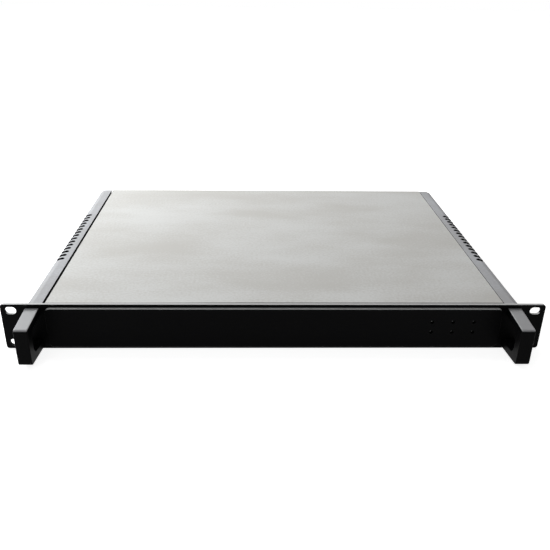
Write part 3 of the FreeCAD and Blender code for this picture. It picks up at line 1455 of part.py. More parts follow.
# ==== fans =======================================================================================
def fan_frame_form():
    """A square fan frame along +Z from the origin: flanges, duct, struts and bored hub plate."""
    half = FAN_SIZE / 2
    flanges = []
    for low in (0, FAN_DEPTH - FAN_FLANGE):
        plate = box((-half, half), (-half, half), (low, low + FAN_FLANGE))
        flanges.append(plate.makeFillet(FAN_CORNER, straight_edges(plate, (0, 0, 1))))
    duct = Part.makeCylinder(half, FAN_DEPTH)
    hole = Part.makeCylinder(FAN_DUCT_RADIUS, FAN_DEPTH)
    frame = fused(flanges + [duct]).cut(hole)
    struts = []
    for number in range(FAN_STRUTS):
        strut = box(
            (0, FAN_DUCT_RADIUS + SCREW_FIT),
            (-FAN_STRUT_WIDTH / 2, FAN_STRUT_WIDTH / 2),
            (0, FAN_HUB_PLATE),
        )
        strut.rotate(Vector(0, 0, 0), Vector(0, 0, 1), 360 / FAN_STRUTS * number)
        struts.append(strut)
    plate = Part.makeCylinder(FAN_HUB_RADIUS, FAN_HUB_PLATE)
    frame = fused([frame, plate] + struts)
    reach = FAN_HOLE_SPACING / 2
    holes = [
        Part.makeCylinder(
            M3.shank + SCREW_FIT, FAN_DEPTH, Vector(i * reach, j * reach, 0),
        ) for i in (-1, 1) for j in (-1, 1)
    ]
    holes.append(Part.makeCylinder(FAN_SHAFT_RADIUS + RUNNING_FIT, FAN_HUB_PLATE))
    return frame.cut(holes)


def blade_section(radius, pitch_angle):
    """A cambered blade section at a radius: a closed wire of two arcs and two short ends."""
    axial = FAN_DEPTH - FAN_HUB_PLATE - FAN_HUB_GAP - 2 * FAN_BLADE_MARGIN
    middle = FAN_HUB_PLATE + FAN_HUB_GAP + FAN_BLADE_MARGIN + axial / 2
    chord = axial / math.sin(math.radians(pitch_angle))
    along = Vector(0, math.cos(math.radians(pitch_angle)), math.sin(math.radians(pitch_angle)))
    across = Vector(0, -along.z, along.y)
    centre = Vector(radius, 0, middle)
    half = FAN_BLADE_THICKNESS / 2
    tail_low = centre - along * (chord / 2) - across * (half / 2)
    tail_high = centre - along * (chord / 2) + across * (half / 2)
    nose_low = centre + along * (chord / 2) - across * (half / 2)
    nose_high = centre + along * (chord / 2) + across * (half / 2)
    camber = chord * FAN_BLADE_CAMBER
    upper = Part.Arc(tail_high, centre + across * (camber + half), nose_high).toShape()
    lower = Part.Arc(nose_low, centre + across * (camber - half), tail_low).toShape()
    return Part.Wire(
        [upper, Part.makeLine(nose_high, nose_low), lower, Part.makeLine(tail_low, tail_high)]
    )


def fan_rotor_form():
    """A fan rotor along +Z: hub, shaft and twisted cambered blades trimmed by the duct's clearance."""
    low = FAN_HUB_PLATE + FAN_HUB_GAP
    hub_radius = FAN_HUB_RADIUS - FAN_HUB_GAP
    hub = Part.makeCylinder(hub_radius, FAN_DEPTH - low - FAN_HUB_GAP, Vector(0, 0, low))
    rim = [edge for edge in hub.Edges if edge.BoundBox.ZMin > FAN_DEPTH - 2 * FAN_HUB_GAP]
    hub = hub.makeChamfer(FAN_HUB_GAP, rim)
    shaft = Part.makeCylinder(FAN_SHAFT_RADIUS, low)
    sections = [blade_section(radius, angle) for radius, angle in FAN_BLADE_SECTIONS]
    blade = Part.makeLoft(sections, True, False)
    blade = blade.common(Part.makeCylinder(FAN_DUCT_RADIUS - FAN_TIP_GAP, FAN_DEPTH))
    blades = []
    for number in range(FAN_BLADES):
        turned = blade.copy()
        turned.rotate(Vector(0, 0, 0), Vector(0, 0, 1), 360 / FAN_BLADES * number)
        blades.append(turned)
    return fused([hub, shaft] + blades)


def side_fan_place(index):
    """The origin of a side fan: its axis runs along +X from the bracket."""
    first = VENT_FIRST_Y + (VENT_COUNT - 1) * VENT_PITCH / 2 - (FAN_COUNT - 1) * FAN_PITCH / 2
    return (FAN_WALL_X + SHEET, first + index * FAN_PITCH, FAN_Z)


def fan_bracket():
    """The upright sheet that carries the side fans, with its foot on the floor."""
    places = [side_fan_place(index) for index in range(FAN_COUNT)]
    start = places[0][1] - FAN_SIZE / 2 - FAN_BRACKET_END
    length = places[-1][1] + FAN_SIZE / 2 + FAN_BRACKET_END - start
    wall_x = FAN_WALL_X + SHEET
    path = [(wall_x, FLOOR + FAN_SIZE), (wall_x, FLOOR), (wall_x - FAN_FOOT, FLOOR)]
    bracket = folded_sheet(path, SHEET, in_xz(start), (0, length, 0))
    reach = FAN_HOLE_SPACING / 2
    cutters = []
    for x, y, z in places:
        cutters.append(rod(FAN_DUCT_RADIUS, (x - SHEET, y, z), (x, y, z)))
        cutters += [
            rod(
                M3.shank + SCREW_FIT,
                (x - SHEET, y + i * reach, z + j * reach),
                (x, y + i * reach, z + j * reach),
            )
            for i in (-1, 1) for j in (-1, 1)
        ]
    return bracket.cut(cutters)


def fan_screws():
    """Two screws for each side fan, at its upper corners."""
    reach = FAN_HOLE_SPACING / 2
    screws = []
    for x, y, z in [side_fan_place(index) for index in range(FAN_COUNT)]:
        screws += [
            placed(pan_screw(M3, FAN_SCREW_LENGTH), (x - SHEET, y + i * reach, z + reach), (-1, 0, 0))
            for i in (-1, 1)
        ]
    return Part.Compound(screws)


# ==== power supply ===============================================================================
def psu_fan_place():
    """The origin of the supply's fan: its axis runs along +Y to the rear."""
    return (
        PSU_X[0] + PSU_FAN_INSET + FAN_SIZE / 2, REAR_IN - PSU_WALL - FAN_DEPTH, FLOOR + PSU_HEIGHT / 2,
    )


def grille_cutters(x, y, z):
    """Ring-shaped slots of a punched grille, broken by two crossed bars."""
    bars = [
        box(
            (x - GRILLE_RADII[-1][1], x + GRILLE_RADII[-1][1]),
            y,
            (z - GRILLE_BAR / 2, z + GRILLE_BAR / 2),
        ),
        box(
            (x - GRILLE_BAR / 2, x + GRILLE_BAR / 2),
            y,
            (z - GRILLE_RADII[-1][1], z + GRILLE_RADII[-1][1]),
        ),
    ]
    for bar in bars:
        bar.rotate(Vector(x, y[0], z), Vector(0, 1, 0), 45)
    rings = []
    for inner, outer in GRILLE_RADII:
        ring = rod(outer, (x, y[0], z), (x, y[1], z)).cut(rod(inner, (x, y[0], z), (x, y[1], z)))
        rings.append(ring.cut(bars))
    return rings


def psu_case():
    """The power supply's sheet-metal case with its punched grille, vents and connector openings."""
    y_span = (PSU_FRONT, REAR_IN)
    case = box(PSU_X, y_span, (FLOOR, PSU_TOP))
    room = box(
        (
            PSU_X[0] + PSU_WALL, PSU_X[1] - PSU_WALL,
        ), (PSU_FRONT + PSU_WALL, REAR_IN - PSU_WALL), (FLOOR + PSU_WALL, PSU_TOP - PSU_WALL)
    )
    rear = (REAR_IN - PSU_WALL, REAR_IN)
    front = (PSU_FRONT, PSU_FRONT + PSU_WALL)
    fan_x, fan_y, fan_z = psu_fan_place()
    half = FAN_SIZE / 2 + SCREW_FIT
    cutters = grille_cutters(fan_x, rear, fan_z)
    reach = FAN_HOLE_SPACING / 2
    cutters += [
        rod(
            M3.shank + SCREW_FIT,
            (fan_x + i * reach, rear[0], fan_z + j * reach),
            (fan_x + i * reach, rear[1], fan_z + j * reach),
        )
        for i in (-1, 1) for j in (-1, 1)
    ]
    cutters.append(
        box((fan_x - half, fan_x + half), (fan_y - SCREW_FIT, fan_y + FAN_DEPTH), (FLOOR, PSU_TOP))
    )
    cutters.append(
        centred_box(INLET_X, rear, INLET_Z, INLET_WIDTH + 2 * SCREW_FIT, INLET_HEIGHT + 2 * SCREW_FIT)
    )
    cutters.append(
        centred_box(INLET_X, rear, SWITCH_Z, SWITCH_WIDTH + 2 * SCREW_FIT, SWITCH_HEIGHT + 2 * SCREW_FIT)
    )
    for number in range(PSU_VENT_COUNT):
        x = PSU_X[0] + PSU_VENT_MARGIN + number * PSU_VENT_PITCH
        cutters.append(
            box((x, x + PSU_VENT_WIDTH), front, (FLOOR + PSU_VENT_MARGIN, PSU_TOP - PSU_VENT_MARGIN))
        )
    for x, z, radius in psu_cable_exits():
        cutters.append(rod(radius, (x, front[0], z), (x, front[1], z)))
    cutters += [
        rod(M3.shank + SCREW_FIT, (x, y, FLOOR), (x, y, FLOOR + PSU_WALL)) for x, y in psu_screw_places()
    ]
    return case.cut(room).cut(cutters)


def centred_box(x, y, z, width, height):
    """A block across Y centred on x and z."""
    return box((x - width / 2, x + width / 2), y, (z - height / 2, z + height / 2))


def psu_board():
    """The power supply's circuit board with its transformer, capacitors and heat spreaders."""
    low = FLOOR + PSU_WALL + PSU_BOARD_RISE
    top = low + BOARD_THICKNESS
    x_span = (PSU_X[0] + PSU_BOARD_MARGIN, PSU_X[1] - PSU_BOARD_MARGIN)
    y_span = (PSU_FRONT + PSU_BOARD_MARGIN, psu_fan_place()[1] - PSU_BOARD_MARGIN)
    board = box(x_span, y_span, (low, top))
    middle_x = (x_span[0] + x_span[1]) / 2
    middle_y = (y_span[0] + y_span[1]) / 2
    pieces = [board, centred_block((middle_x, middle_y, top), TRANSFORMER_SIZE)]
    for side in (-1, 1):
        pieces.append(centred_block((middle_x + side * SPREADER_X, middle_y, top), SPREADER_SIZE))
        pieces.append(Part.makeCylinder(
            BULK_RADIUS, BULK_HEIGHT, Vector(
                middle_x + side * BULK_SPREAD, y_span[0] + BULK_RADIUS + PSU_BOARD_MARGIN, top,
            )
        ))
    posts = [
        Part.makeCylinder(STANDOFF_RADIUS, PSU_BOARD_RISE, Vector(x, y, FLOOR + PSU_WALL))
        for x in (
            x_span[0] + PSU_POST_INSET, x_span[1] - PSU_POST_INSET,
        ) for y in (y_span[0] + PSU_POST_INSET, y_span[1] - PSU_POST_INSET)
    ]
    return Part.Compound(pieces + posts)


def centred_block(base, size):
    """A block standing on a point, centred on its x and y."""
    x, y, z = base
    width, length, height = size
    return box((x - width / 2, x + width / 2), (y - length / 2, y + length / 2), (z, z + height))


def power_inlet():
    """The mains inlet: flange, chamfered mouth and three flat pins."""
    body = centred_box(INLET_X, (REAR_IN - INLET_DEPTH, REAR_IN), INLET_Z, INLET_WIDTH, INLET_HEIGHT)
    flange = centred_box(
        INLET_X, (
            REAR_IN, REAR_IN + INLET_FLANGE_THICKNESS,
        ), INLET_Z, INLET_WIDTH + 2 * INLET_FLANGE, INLET_HEIGHT + 2 * INLET_FLANGE
    )
    mouth_front = REAR_IN + INLET_FLANGE_THICKNESS - INLET_MOUTH_DEPTH
    half_width = INLET_MOUTH_WIDTH / 2
    half_height = INLET_MOUTH_HEIGHT / 2
    corners = [
        (
            INLET_X - half_width, INLET_Z - half_height, INLET_ROUND,
        ), (INLET_X + half_width, INLET_Z - half_height, INLET_ROUND),
        (
            INLET_X + half_width, INLET_Z + half_height - INLET_CHAMFER, 0,
        ), (INLET_X + half_width - INLET_CHAMFER, INLET_Z + half_height, 0),
        (
            INLET_X - half_width + INLET_CHAMFER, INLET_Z + half_height, 0,
        ), (INLET_X - half_width, INLET_Z + half_height - INLET_CHAMFER, 0),
    ]
    mouth = prism(corners, in_xz(mouth_front), (0, INLET_MOUTH_DEPTH, 0))
    pins = [
        centred_box(
            INLET_X + column * PIN_SPREAD,
            (mouth_front, REAR_IN),
            INLET_Z - row * PIN_SIZE[1] / 2,
            *PIN_SIZE,
        )
        for column, row in ((-1, 1), (0, -1), (1, 1))
    ]
    return fused([body.fuse(flange).cut(mouth)] + pins)


def switch_housing():
    """The mains switch's frame with the rocker's pivot bores."""
    front = SWITCH_FACE - SWITCH_DEPTH
    housing = centred_box(INLET_X, (front, SWITCH_FACE), SWITCH_Z, SWITCH_WIDTH, SWITCH_HEIGHT)
    pocket = centred_box(
        INLET_X, (
            SWITCH_FACE - SWITCH_POCKET, SWITCH_FACE,
        ), SWITCH_Z, SWITCH_WIDTH - 2 * SWITCH_WALL, SWITCH_HEIGHT - 2 * SWITCH_WALL
    )
    pivot_y = SWITCH_FACE - ROCKER_PIVOT_DEPTH
    reach = SWITCH_HEIGHT / 2 - SWITCH_WALL / 4
    bore = rod(
        ROCKER_PIN_RADIUS + RUNNING_FIT,
        (INLET_X, pivot_y, SWITCH_Z - reach),
        (INLET_X, pivot_y, SWITCH_Z + reach),
    )
    return housing.cut([pocket, bore])


def power_rocker():
    """The rocker in its off position: two faces that meet in a shallow V, and its pivot pins."""
    pivot_y = SWITCH_FACE - ROCKER_PIVOT_DEPTH
    half_height = SWITCH_HEIGHT / 2 - SWITCH_WALL - MOVING_GAP
    radius = SWITCH_WIDTH / 2 - SWITCH_WALL - MOVING_GAP
    low = Vector(INLET_X, pivot_y, SWITCH_Z - half_height)
    disc = Part.makeCylinder(radius, 2 * half_height, low)
    rise = ROCKER_PIVOT_DEPTH + ROCKER_RISE
    corners = [
        (-radius, -ROCKER_BODY, 0), (radius, -ROCKER_BODY, 0),
        (radius, rise, 0), (0, ROCKER_PIVOT_DEPTH, 0), (-radius, rise, 0),
    ]
    profile = prism(
        corners, lambda u, v: Vector(INLET_X + u, pivot_y + v, low.z), (0, 0, 2 * half_height),
    )
    pin_reach = SWITCH_HEIGHT / 2 - SWITCH_WALL / 2
    pin = rod(
        ROCKER_PIN_RADIUS,
        (INLET_X, pivot_y, SWITCH_Z - pin_reach),
        (INLET_X, pivot_y, SWITCH_Z + pin_reach),
    )
    rocker = fused([disc.common(profile), pin])
    rocker.rotate(low, Vector(0, 0, 1), -ROCKER_TILT)
    return rocker


# ==== drives =====================================================================================
def shelf_top():
    """The height of the drives' shelf."""
    return FLOOR + DRIVE_SHELF_RISE


def drive_span(index):
    """The low and high x of a drive."""
    low = DRIVE_INSET - SIDE + index * (DRIVE_WIDTH + DRIVE_GAP)
    return (low, low + DRIVE_WIDTH)


def drive_screw_places():
    """The centres (x, y) of the screws under the drives."""
    inset = DRIVE_SCREW_INSET
    return [
        (x, y) for index in range(DRIVE_COUNT) for x, y in (
            (drive_span(index)[0] + inset, DRIVE_Y + inset), (
                drive_span(index)[1] - inset, DRIVE_Y + DRIVE_LENGTH - inset,
            ),
        )
    ]


def drive_bracket():
    """The hat-shaped shelf over the floor that carries both drives."""
    left = drive_span(0)[0] - DRIVE_SIDE_MARGIN
    right = drive_span(DRIVE_COUNT - 1)[1] + DRIVE_SIDE_MARGIN
    foot_top = FLOOR + SHEET
    top = shelf_top()
    path = [
        (left - DRIVE_FOOT, foot_top),
        (left, foot_top),
        (left, top),
        (right, top),
        (right, foot_top),
        (right + DRIVE_FOOT, foot_top),
    ]
    shelf = folded_sheet(path, SHEET, in_xz(DRIVE_Y), (0, DRIVE_LENGTH, 0))
    return shelf.cut(
        [rod(M3.shank + SCREW_FIT, (x, y, top - SHEET), (x, y, top)) for x, y in drive_screw_places()]
    )


def drive(index):
    """A 2.5-inch drive with its connector recess at the rear."""
    x_span = drive_span(index)
    low = shelf_top()
    body = box(x_span, (DRIVE_Y, DRIVE_Y + DRIVE_LENGTH), (low, low + DRIVE_HEIGHT))
    body = body.makeFillet(DRIVE_CORNER, straight_edges(body, (0, 0, 1)))
    recess_x = (x_span[0] + DRIVE_CONNECTOR_X, x_span[0] + DRIVE_CONNECTOR_X + DRIVE_CONNECTOR_WIDTH)
    rear = DRIVE_Y + DRIVE_LENGTH
    recess = box(recess_x, (rear - DRIVE_RECESS, rear), (low + SHEET, low + DRIVE_HEIGHT - SHEET))
    holes = [
        rod(
            M3.shank + SCREW_FIT, (x, y, low), (x, y, low + DRIVE_SCREW_BITE),
        ) for x, y in drive_screw_places()[2 * index:2 * index + 2]
    ]
    return body.cut([recess] + holes)


def drive_screws():
    """The screws that hold the drives from under their shelf."""
    length = SHEET + DRIVE_SCREW_BITE - SCREW_FIT
    return Part.Compound([
        placed(
            pan_screw(M3, length), (x, y, shelf_top() - SHEET), (0, 0, -1),
        ) for x, y in drive_screw_places()
    ])


# ==== cables =====================================================================================
def drive_plug(index, offset, width):
    """A cable plug in the recess of a drive, and the middle of its rear face."""
    left = drive_span(index)[0] + DRIVE_CONNECTOR_X + offset
    rear = DRIVE_Y + DRIVE_LENGTH
    z = shelf_top() + DRIVE_HEIGHT / 2
    plug = centred_box(
        left + width / 2, (rear - DRIVE_RECESS, rear + DRIVE_PLUG_LENGTH), z, width, DRIVE_PLUG_HEIGHT,
    )
    return plug, (left + width / 2, rear + DRIVE_PLUG_LENGTH, z)


def psu_cable_exits():
    """The holes (x, z, radius) in the supply's front face: the board's cable, then the drives'."""
    exits = [(PSU_X[1] - MAIN_EXIT_INSET, MAIN_EXIT_Z, MAIN_CABLE_RADIUS + SCREW_FIT)]
    exits += [
        (PSU_X[0] + inset, CABLE_EXIT_Z, DRIVE_CABLE_RADIUS + SCREW_FIT) for inset in DRIVE_EXIT_INSET
    ]
    return exits


def route(start, shares, end):
    """A cable's points, each middle one at its shares of the way in X and Y and its own height."""
    middle = [
        (start[0] + across * (end[0] - start[0]), start[1] + along * (end[1] - start[1]), z)
        for across, along, z in shares
    ]
    return [start] + middle + [end]


def main_cable():
    """The main board's power plug and its cable from the supply."""
    x, y = board_place(*POWER_HEADER_PLACE)
    width, length, height = POWER_HEADER_SIZE
    low = BOARD_TOP + height
    plug = centred_block((x, y, low), (width, length, POWER_PLUG_HEIGHT))
    exit_x, exit_z, _ = psu_cable_exits()[0]
    points = route(
        (exit_x, PSU_FRONT, exit_z), MAIN_CABLE_ROUTE, (x - width / 2, y, low + POWER_PLUG_HEIGHT / 2),
    )
    return [plug, cable(points, MAIN_CABLE_RADIUS)]


def drive_cable(index):
    """A drive's power plug and its cable from the supply."""
    plug, point = drive_plug(index, POWER_PLUG_OFFSET, POWER_PLUG_WIDTH)
    exit_x, exit_z, _ = psu_cable_exits()[1 + index]
    middle_y = (PSU_FRONT + point[1]) / 2
    points = [
        (exit_x, PSU_FRONT, exit_z), (exit_x, middle_y + CABLE_EASE, exit_z),
        (point[0], middle_y - CABLE_EASE, point[2]), point,
    ]
    return [plug, cable(points, DRIVE_CABLE_RADIUS)]


def power_cables():
    """The main board's cable and the drives' cables, with their plugs."""
    pieces = main_cable()
    for index in range(DRIVE_COUNT):
        pieces += drive_cable(index)
    return Part.Compound(pieces)


def data_cable(index):
    """A drive's data cable with its plugs at the drive and at the main board."""
    mouth_x, ys = drive_header_mouths()
    z = BOARD_TOP + DRIVE_HEADER_SIZE[2] / 2
    drive_end, start = drive_plug(index, 0, DATA_PLUG_WIDTH)
    end = (mouth_x - DATA_PLUG_LENGTH, ys[index], z)
    board_end = box(
        (end[0], mouth_x), (end[1] - DATA_PLUG_HALF, end[1] + DATA_PLUG_HALF),
        (z - DATA_PLUG_HALF / 2, z + DATA_PLUG_HALF / 2),
    )
    return [drive_end, board_end, cable(route(start, DATA_CABLE_ROUTES[index], end), DATA_CABLE_RADIUS)]


def indicator_cable():
    """The cable from the indicator board to its header, with its plug."""
    x, y = board_place(*SIGNAL_HEADER_PLACE)
    width, length, height = SIGNAL_HEADER_SIZE
    plug = centred_block((x, y, BOARD_TOP + height), (width, length, SIGNAL_PLUG_HEIGHT))
    start = (LED_CENTRE_X, LED_BOARD_REAR, LED_CENTRE_Z)
    end = (x + width / 2, y, BOARD_TOP + height + SIGNAL_PLUG_HEIGHT / 2)
    return [plug, cable(route(start, LED_CABLE_ROUTE, end), LED_CABLE_RADIUS)]


def signal_cables():
    """The drives' data cables and the indicator cable, with their plugs."""
    pieces = indicator_cable()
    for index in range(DRIVE_COUNT):
        pieces += data_cable(index)
    return Part.Compound(pieces)


# ==== the assembly ===============================================================================
def assembly():
    """Every sub-part by the name of its file."""
    nodes = {
        "front_panel": front_panel(),
        "front_plate": front_plate(),
        "right_handle": right_handle(),
        "left_handle": mirrored(right_handle()),
        "handle_screws": handle_screws(),
        "right_rail": right_rail(),
        "left_rail": mirrored(right_rail()),
        "base_tray": base_tray(),
        "flush_screws": flush_screws(),
        "rear_panel": rear_panel(),
        "panel_nuts": panel_nuts(),
        "top_cover": top_cover(),
        "cover_screws": cover_screws(),
        "slot_cover": slot_cover(),
        "slot_cover_screws": slot_cover_screws(),
        "led_board": led_board(),
        "status_leds": status_leds(),
        "board_standoffs": board_standoffs(),
        "board_screws": board_screws(),
        "main_board": main_board(),
        "board_components": board_components(),
        "processor": processor(),
        "heatsink": heatsink(),
        "heatsink_screws": heatsink_screws(),
        "expansion_socket": expansion_socket(),
        "io_shield": io_shield(),
        "d_sub_ports": d_sub_ports(),
        "usb_ports": usb_ports(),
        "lan_ports": lan_ports(),
        "fan_bracket": fan_bracket(),
        "fan_screws": fan_screws(),
        "psu_case": psu_case(),
        "psu_board": psu_board(),
        "psu_fan_frame": placed(fan_frame_form(), psu_fan_place(), (0, 1, 0)),
        "psu_fan_rotor": placed(fan_rotor_form(), psu_fan_place(), (0, 1, 0)),
        "power_inlet": power_inlet(),
        "switch_housing": switch_housing(),
        "power_rocker": power_rocker(),
        "drive_bracket": drive_bracket(),
        "drive_screws": drive_screws(),
        "power_cables": power_cables(),
        "signal_cables": signal_cables(),
    }
    for index in range(FAN_COUNT):
        nodes[f"fan_frame_{index + 1}"] = placed(fan_frame_form(), side_fan_place(index), (1, 0, 0))
        nodes[f"fan_rotor_{index + 1}"] = placed(fan_rotor_form(), side_fan_place(index), (1, 0, 0))
    for index in range(len(MEMORY_FROM_FRONT)):
        nodes[f"memory_socket_{index + 1}"] = memory_socket(index)
        nodes[f"memory_module_{index + 1}"] = memory_module(index)
        nodes[f"memory_latch_{2 * index + 1}"] = memory_latch(index, -1)
        nodes[f"memory_latch_{2 * index + 2}"] = memory_latch(index, 1)
    for index in range(DRIVE_COUNT):
        nodes[f"drive_{index + 1}"] = drive(index)
    return nodes


os.makedirs("parts", exist_ok=True)
for name, shape in assembly().items():
    shape.exportStep(f"parts/{name}.step")
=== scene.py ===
"""Looks of a 1U rack server: finishes, cables, small board details, studio and camera.

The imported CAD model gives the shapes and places. Everything here is in metres, in its frame: X to the
right as seen from the front, Y to the rear, Z up, with the origin at the middle of the rack-slot
pattern on the rear face of the front panel.
"""

import logging
import math
from collections.abc import Sequence
from dataclasses import dataclass
from enum import Enum
from functools import cache

import bmesh
import bpy
import numpy as np
from mathutils import Matrix, Vector


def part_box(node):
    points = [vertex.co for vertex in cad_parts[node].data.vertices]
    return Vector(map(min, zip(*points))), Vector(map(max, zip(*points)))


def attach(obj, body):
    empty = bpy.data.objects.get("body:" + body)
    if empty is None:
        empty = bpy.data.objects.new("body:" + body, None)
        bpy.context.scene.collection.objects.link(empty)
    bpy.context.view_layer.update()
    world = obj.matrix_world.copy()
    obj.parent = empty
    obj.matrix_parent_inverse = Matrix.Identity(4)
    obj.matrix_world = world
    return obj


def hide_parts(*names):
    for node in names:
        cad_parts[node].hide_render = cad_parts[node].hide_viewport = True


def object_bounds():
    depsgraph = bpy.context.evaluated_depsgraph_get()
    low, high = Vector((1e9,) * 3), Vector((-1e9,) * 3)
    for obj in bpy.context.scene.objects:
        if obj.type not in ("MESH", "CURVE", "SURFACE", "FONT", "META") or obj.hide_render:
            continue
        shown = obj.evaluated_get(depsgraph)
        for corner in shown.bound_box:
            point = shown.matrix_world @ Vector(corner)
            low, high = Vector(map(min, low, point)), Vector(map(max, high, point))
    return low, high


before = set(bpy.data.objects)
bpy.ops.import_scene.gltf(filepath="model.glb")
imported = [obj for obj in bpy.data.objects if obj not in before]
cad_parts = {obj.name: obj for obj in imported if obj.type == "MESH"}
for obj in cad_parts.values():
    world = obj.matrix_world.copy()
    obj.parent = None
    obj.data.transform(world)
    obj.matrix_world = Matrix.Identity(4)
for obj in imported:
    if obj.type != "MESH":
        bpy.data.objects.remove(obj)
CAD_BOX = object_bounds()
LOG = logging.getLogger("rack_server")
MM = 0.001
FACING = 0.5               # a face looks along an axis where its normal's share of it is above this
SMOOTH_ANGLE = math.radians(35.0)

Color = tuple[float, float, float]
Point = tuple[float, float, float]
Socket = bpy.types.NodeSocket
Value = float | bpy.types.NodeSocket
Materials = dict[str, bpy.types.Material]
WHITE = (1.0, 1.0, 1.0)


# ---- shader building ----------------------------------------------------------------------------
class Graph:
    """A node tree under construction, with short calls for adding and joining nodes."""

    def __init__(self, tree: bpy.types.NodeTree) -> None:
        """Starts on a tree.

        Args:
            tree: the shader node tree that receives the nodes.
        """
        self.tree = tree

    def add(self, kind: str, inputs: dict | None = None, **settings: object) -> bpy.types.Node:
        """Adds a node.

        Args:
            kind: the node's type without the ShaderNode prefix.
            inputs: socket name or number to a value, or to a socket that feeds it.
            settings: properties of the node itself.

        Returns:
            The new node.
        """
        node = self.tree.nodes.new("ShaderNode" + kind)
        for name, value in settings.items():
            setattr(node, name, value)
        for name, value in (inputs or {}).items():
            if isinstance(value, Socket):
                self.tree.links.new(value, node.inputs[name])
            else:
                node.inputs[name].default_value = value
        return node

    def place(self) -> bpy.types.NodeOutputs:
        """Gives a point's X, Y and Z in the object's own coordinates."""
        return self.add("SeparateXYZ", {0: self.add("TexCoord").outputs["Object"]}).outputs

    def normal(self) -> bpy.types.NodeOutputs:
        """Gives the X, Y and Z of the direction in which a face looks."""
        return self.add("SeparateXYZ", {0: self.add("TexCoord").outputs["Normal"]}).outputs

    def math(self, operation: str, first: Value, second: Value = 0.0) -> Socket:
        """Joins two values by an arithmetic operation.

        Args:
            operation: the Math node's operation.
            first: a number or socket.
            second: a number or socket.

        Returns:
            The result's socket.
        """
        return self.add("Math", {0: first, 1: second}, operation=operation).outputs[0]

    def ramp(self, value: Socket, low: Value, high: Value) -> Socket:
        """Rises smoothly from 0 to 1 as a value goes from low to high.

        Args:
            value: the socket that is read.
            low: where the rise starts.
            high: where it ends.

        Returns:
            The result's socket.
        """
        inputs = {"Value": value, "From Min": low, "From Max": high}
        return self.add("MapRange", inputs, interpolation_type="SMOOTHSTEP").outputs["Result"]

    def above(self, value: Value, level: Value) -> Socket:
        """Gives 1 where a value is above a level, and 0 elsewhere."""
        return self.math("GREATER_THAN", value, level)

    def below(self, value: Value, level: Value) -> Socket:
        """Gives 1 where a value is below a level, and 0 elsewhere."""
        return self.math("LESS_THAN", value, level)

    def distance(self, value: Value, middle: Value) -> Socket:
        """Gives how far a value is from a middle, whichever side it is on."""
        return self.math("ABSOLUTE", self.math("SUBTRACT", value, middle))

    def every(self, first: Value, *others: Value) -> Value:
        """Multiplies values, so that of masks the result is 1 only where all of them are.

        Args:
            first: a number or socket.
            others: more of them.

        Returns:
            The product's socket, or the first value where it is alone.
        """
        for other in others:
            first = self.math("MULTIPLY", first, other)
        return first

    def blend(self, factor: Value, first: Color | Socket, second: Color | Socket) -> Socket:
        """Mixes two colours.

        Args:
            factor: 0 gives the first colour and 1 the second.
            first: a colour or socket.
            second: a colour or socket.

        Returns:
            The mixed colour's socket.
        """
        values = {0: factor, 6: rgba(first), 7: rgba(second)}
        return self.add("Mix", values, data_type="RGBA", clamp_factor=True).outputs[2]


def rgba(color: Color | Socket) -> tuple[float, ...] | Socket:
    """Gives a colour its alpha of 1, and leaves a socket as it is."""
    return color if isinstance(color, Socket) else (*color, 1.0)


class Effect:
    """A shared effect: a node group with number inputs and one number output.

    Attributes:
        tree: the group.
        graph: its nodes under construction.
        inputs: its inputs, as sockets that feed its nodes.
        outlet: the socket that takes its result.
    """

    def __init__(self, name: str, inputs: dict[str, float], output: str) -> None:
        """Starts the group.

        Args:
            name: the group's name.
            inputs: the names of its number inputs with their usual values.
            output: the name of its output.
        """
        self.tree = bpy.data.node_groups.new(name, "ShaderNodeTree")
        for title, value in inputs.items():
            socket = self.tree.interface.new_socket(title, in_out="INPUT", socket_type="NodeSocketFloat")
            socket.default_value = value
        self.tree.interface.new_socket(output, in_out="OUTPUT", socket_type="NodeSocketFloat")
        self.graph = Graph(self.tree)
        self.inputs = self.tree.nodes.new("NodeGroupInput").outputs
        self.outlet = self.tree.nodes.new("NodeGroupOutput").inputs[0]

    def stretched(self, place: Socket) -> Socket:
        """Divides a place's X by the input Stretch, which makes a pattern on it that much longer.

        Args:
            place: the place's socket.

        Returns:
            The changed place's socket.
        """
        squeeze = self.graph.math("DIVIDE", 1.0, self.inputs["Stretch"])
        factors = self.graph.add("CombineXYZ", {"X": squeeze, "Y": 1.0, "Z": 1.0}).outputs[0]
        return self.graph.add("VectorMath", {0: place, 1: factors}, operation="MULTIPLY").outputs[0]

    def finish(self, result: Socket) -> bpy.types.NodeTree:
        """Joins the result to the group's output.

        Args:
            result: the socket that the group puts out.

        Returns:
            The group.
        """
        self.tree.links.new(result, self.outlet)
        return self.tree


@cache
def grain_group() -> bpy.types.NodeTree:
    """Makes the fine grain: height = noise(p * Scale), with p stretched along X by Stretch.

    Returns:
        The group.
    """
    effect = Effect("fine grain", {"Scale": 900.0, "Stretch": 1.0}, "Height")
    place = effect.stretched(effect.graph.add("TexCoord").outputs["Object"])
    noise = effect.graph.add("TexNoise", {"Vector": place, "Scale": effect.inputs["Scale"], "Detail": 3.0})
    return effect.finish(noise.outputs[0])


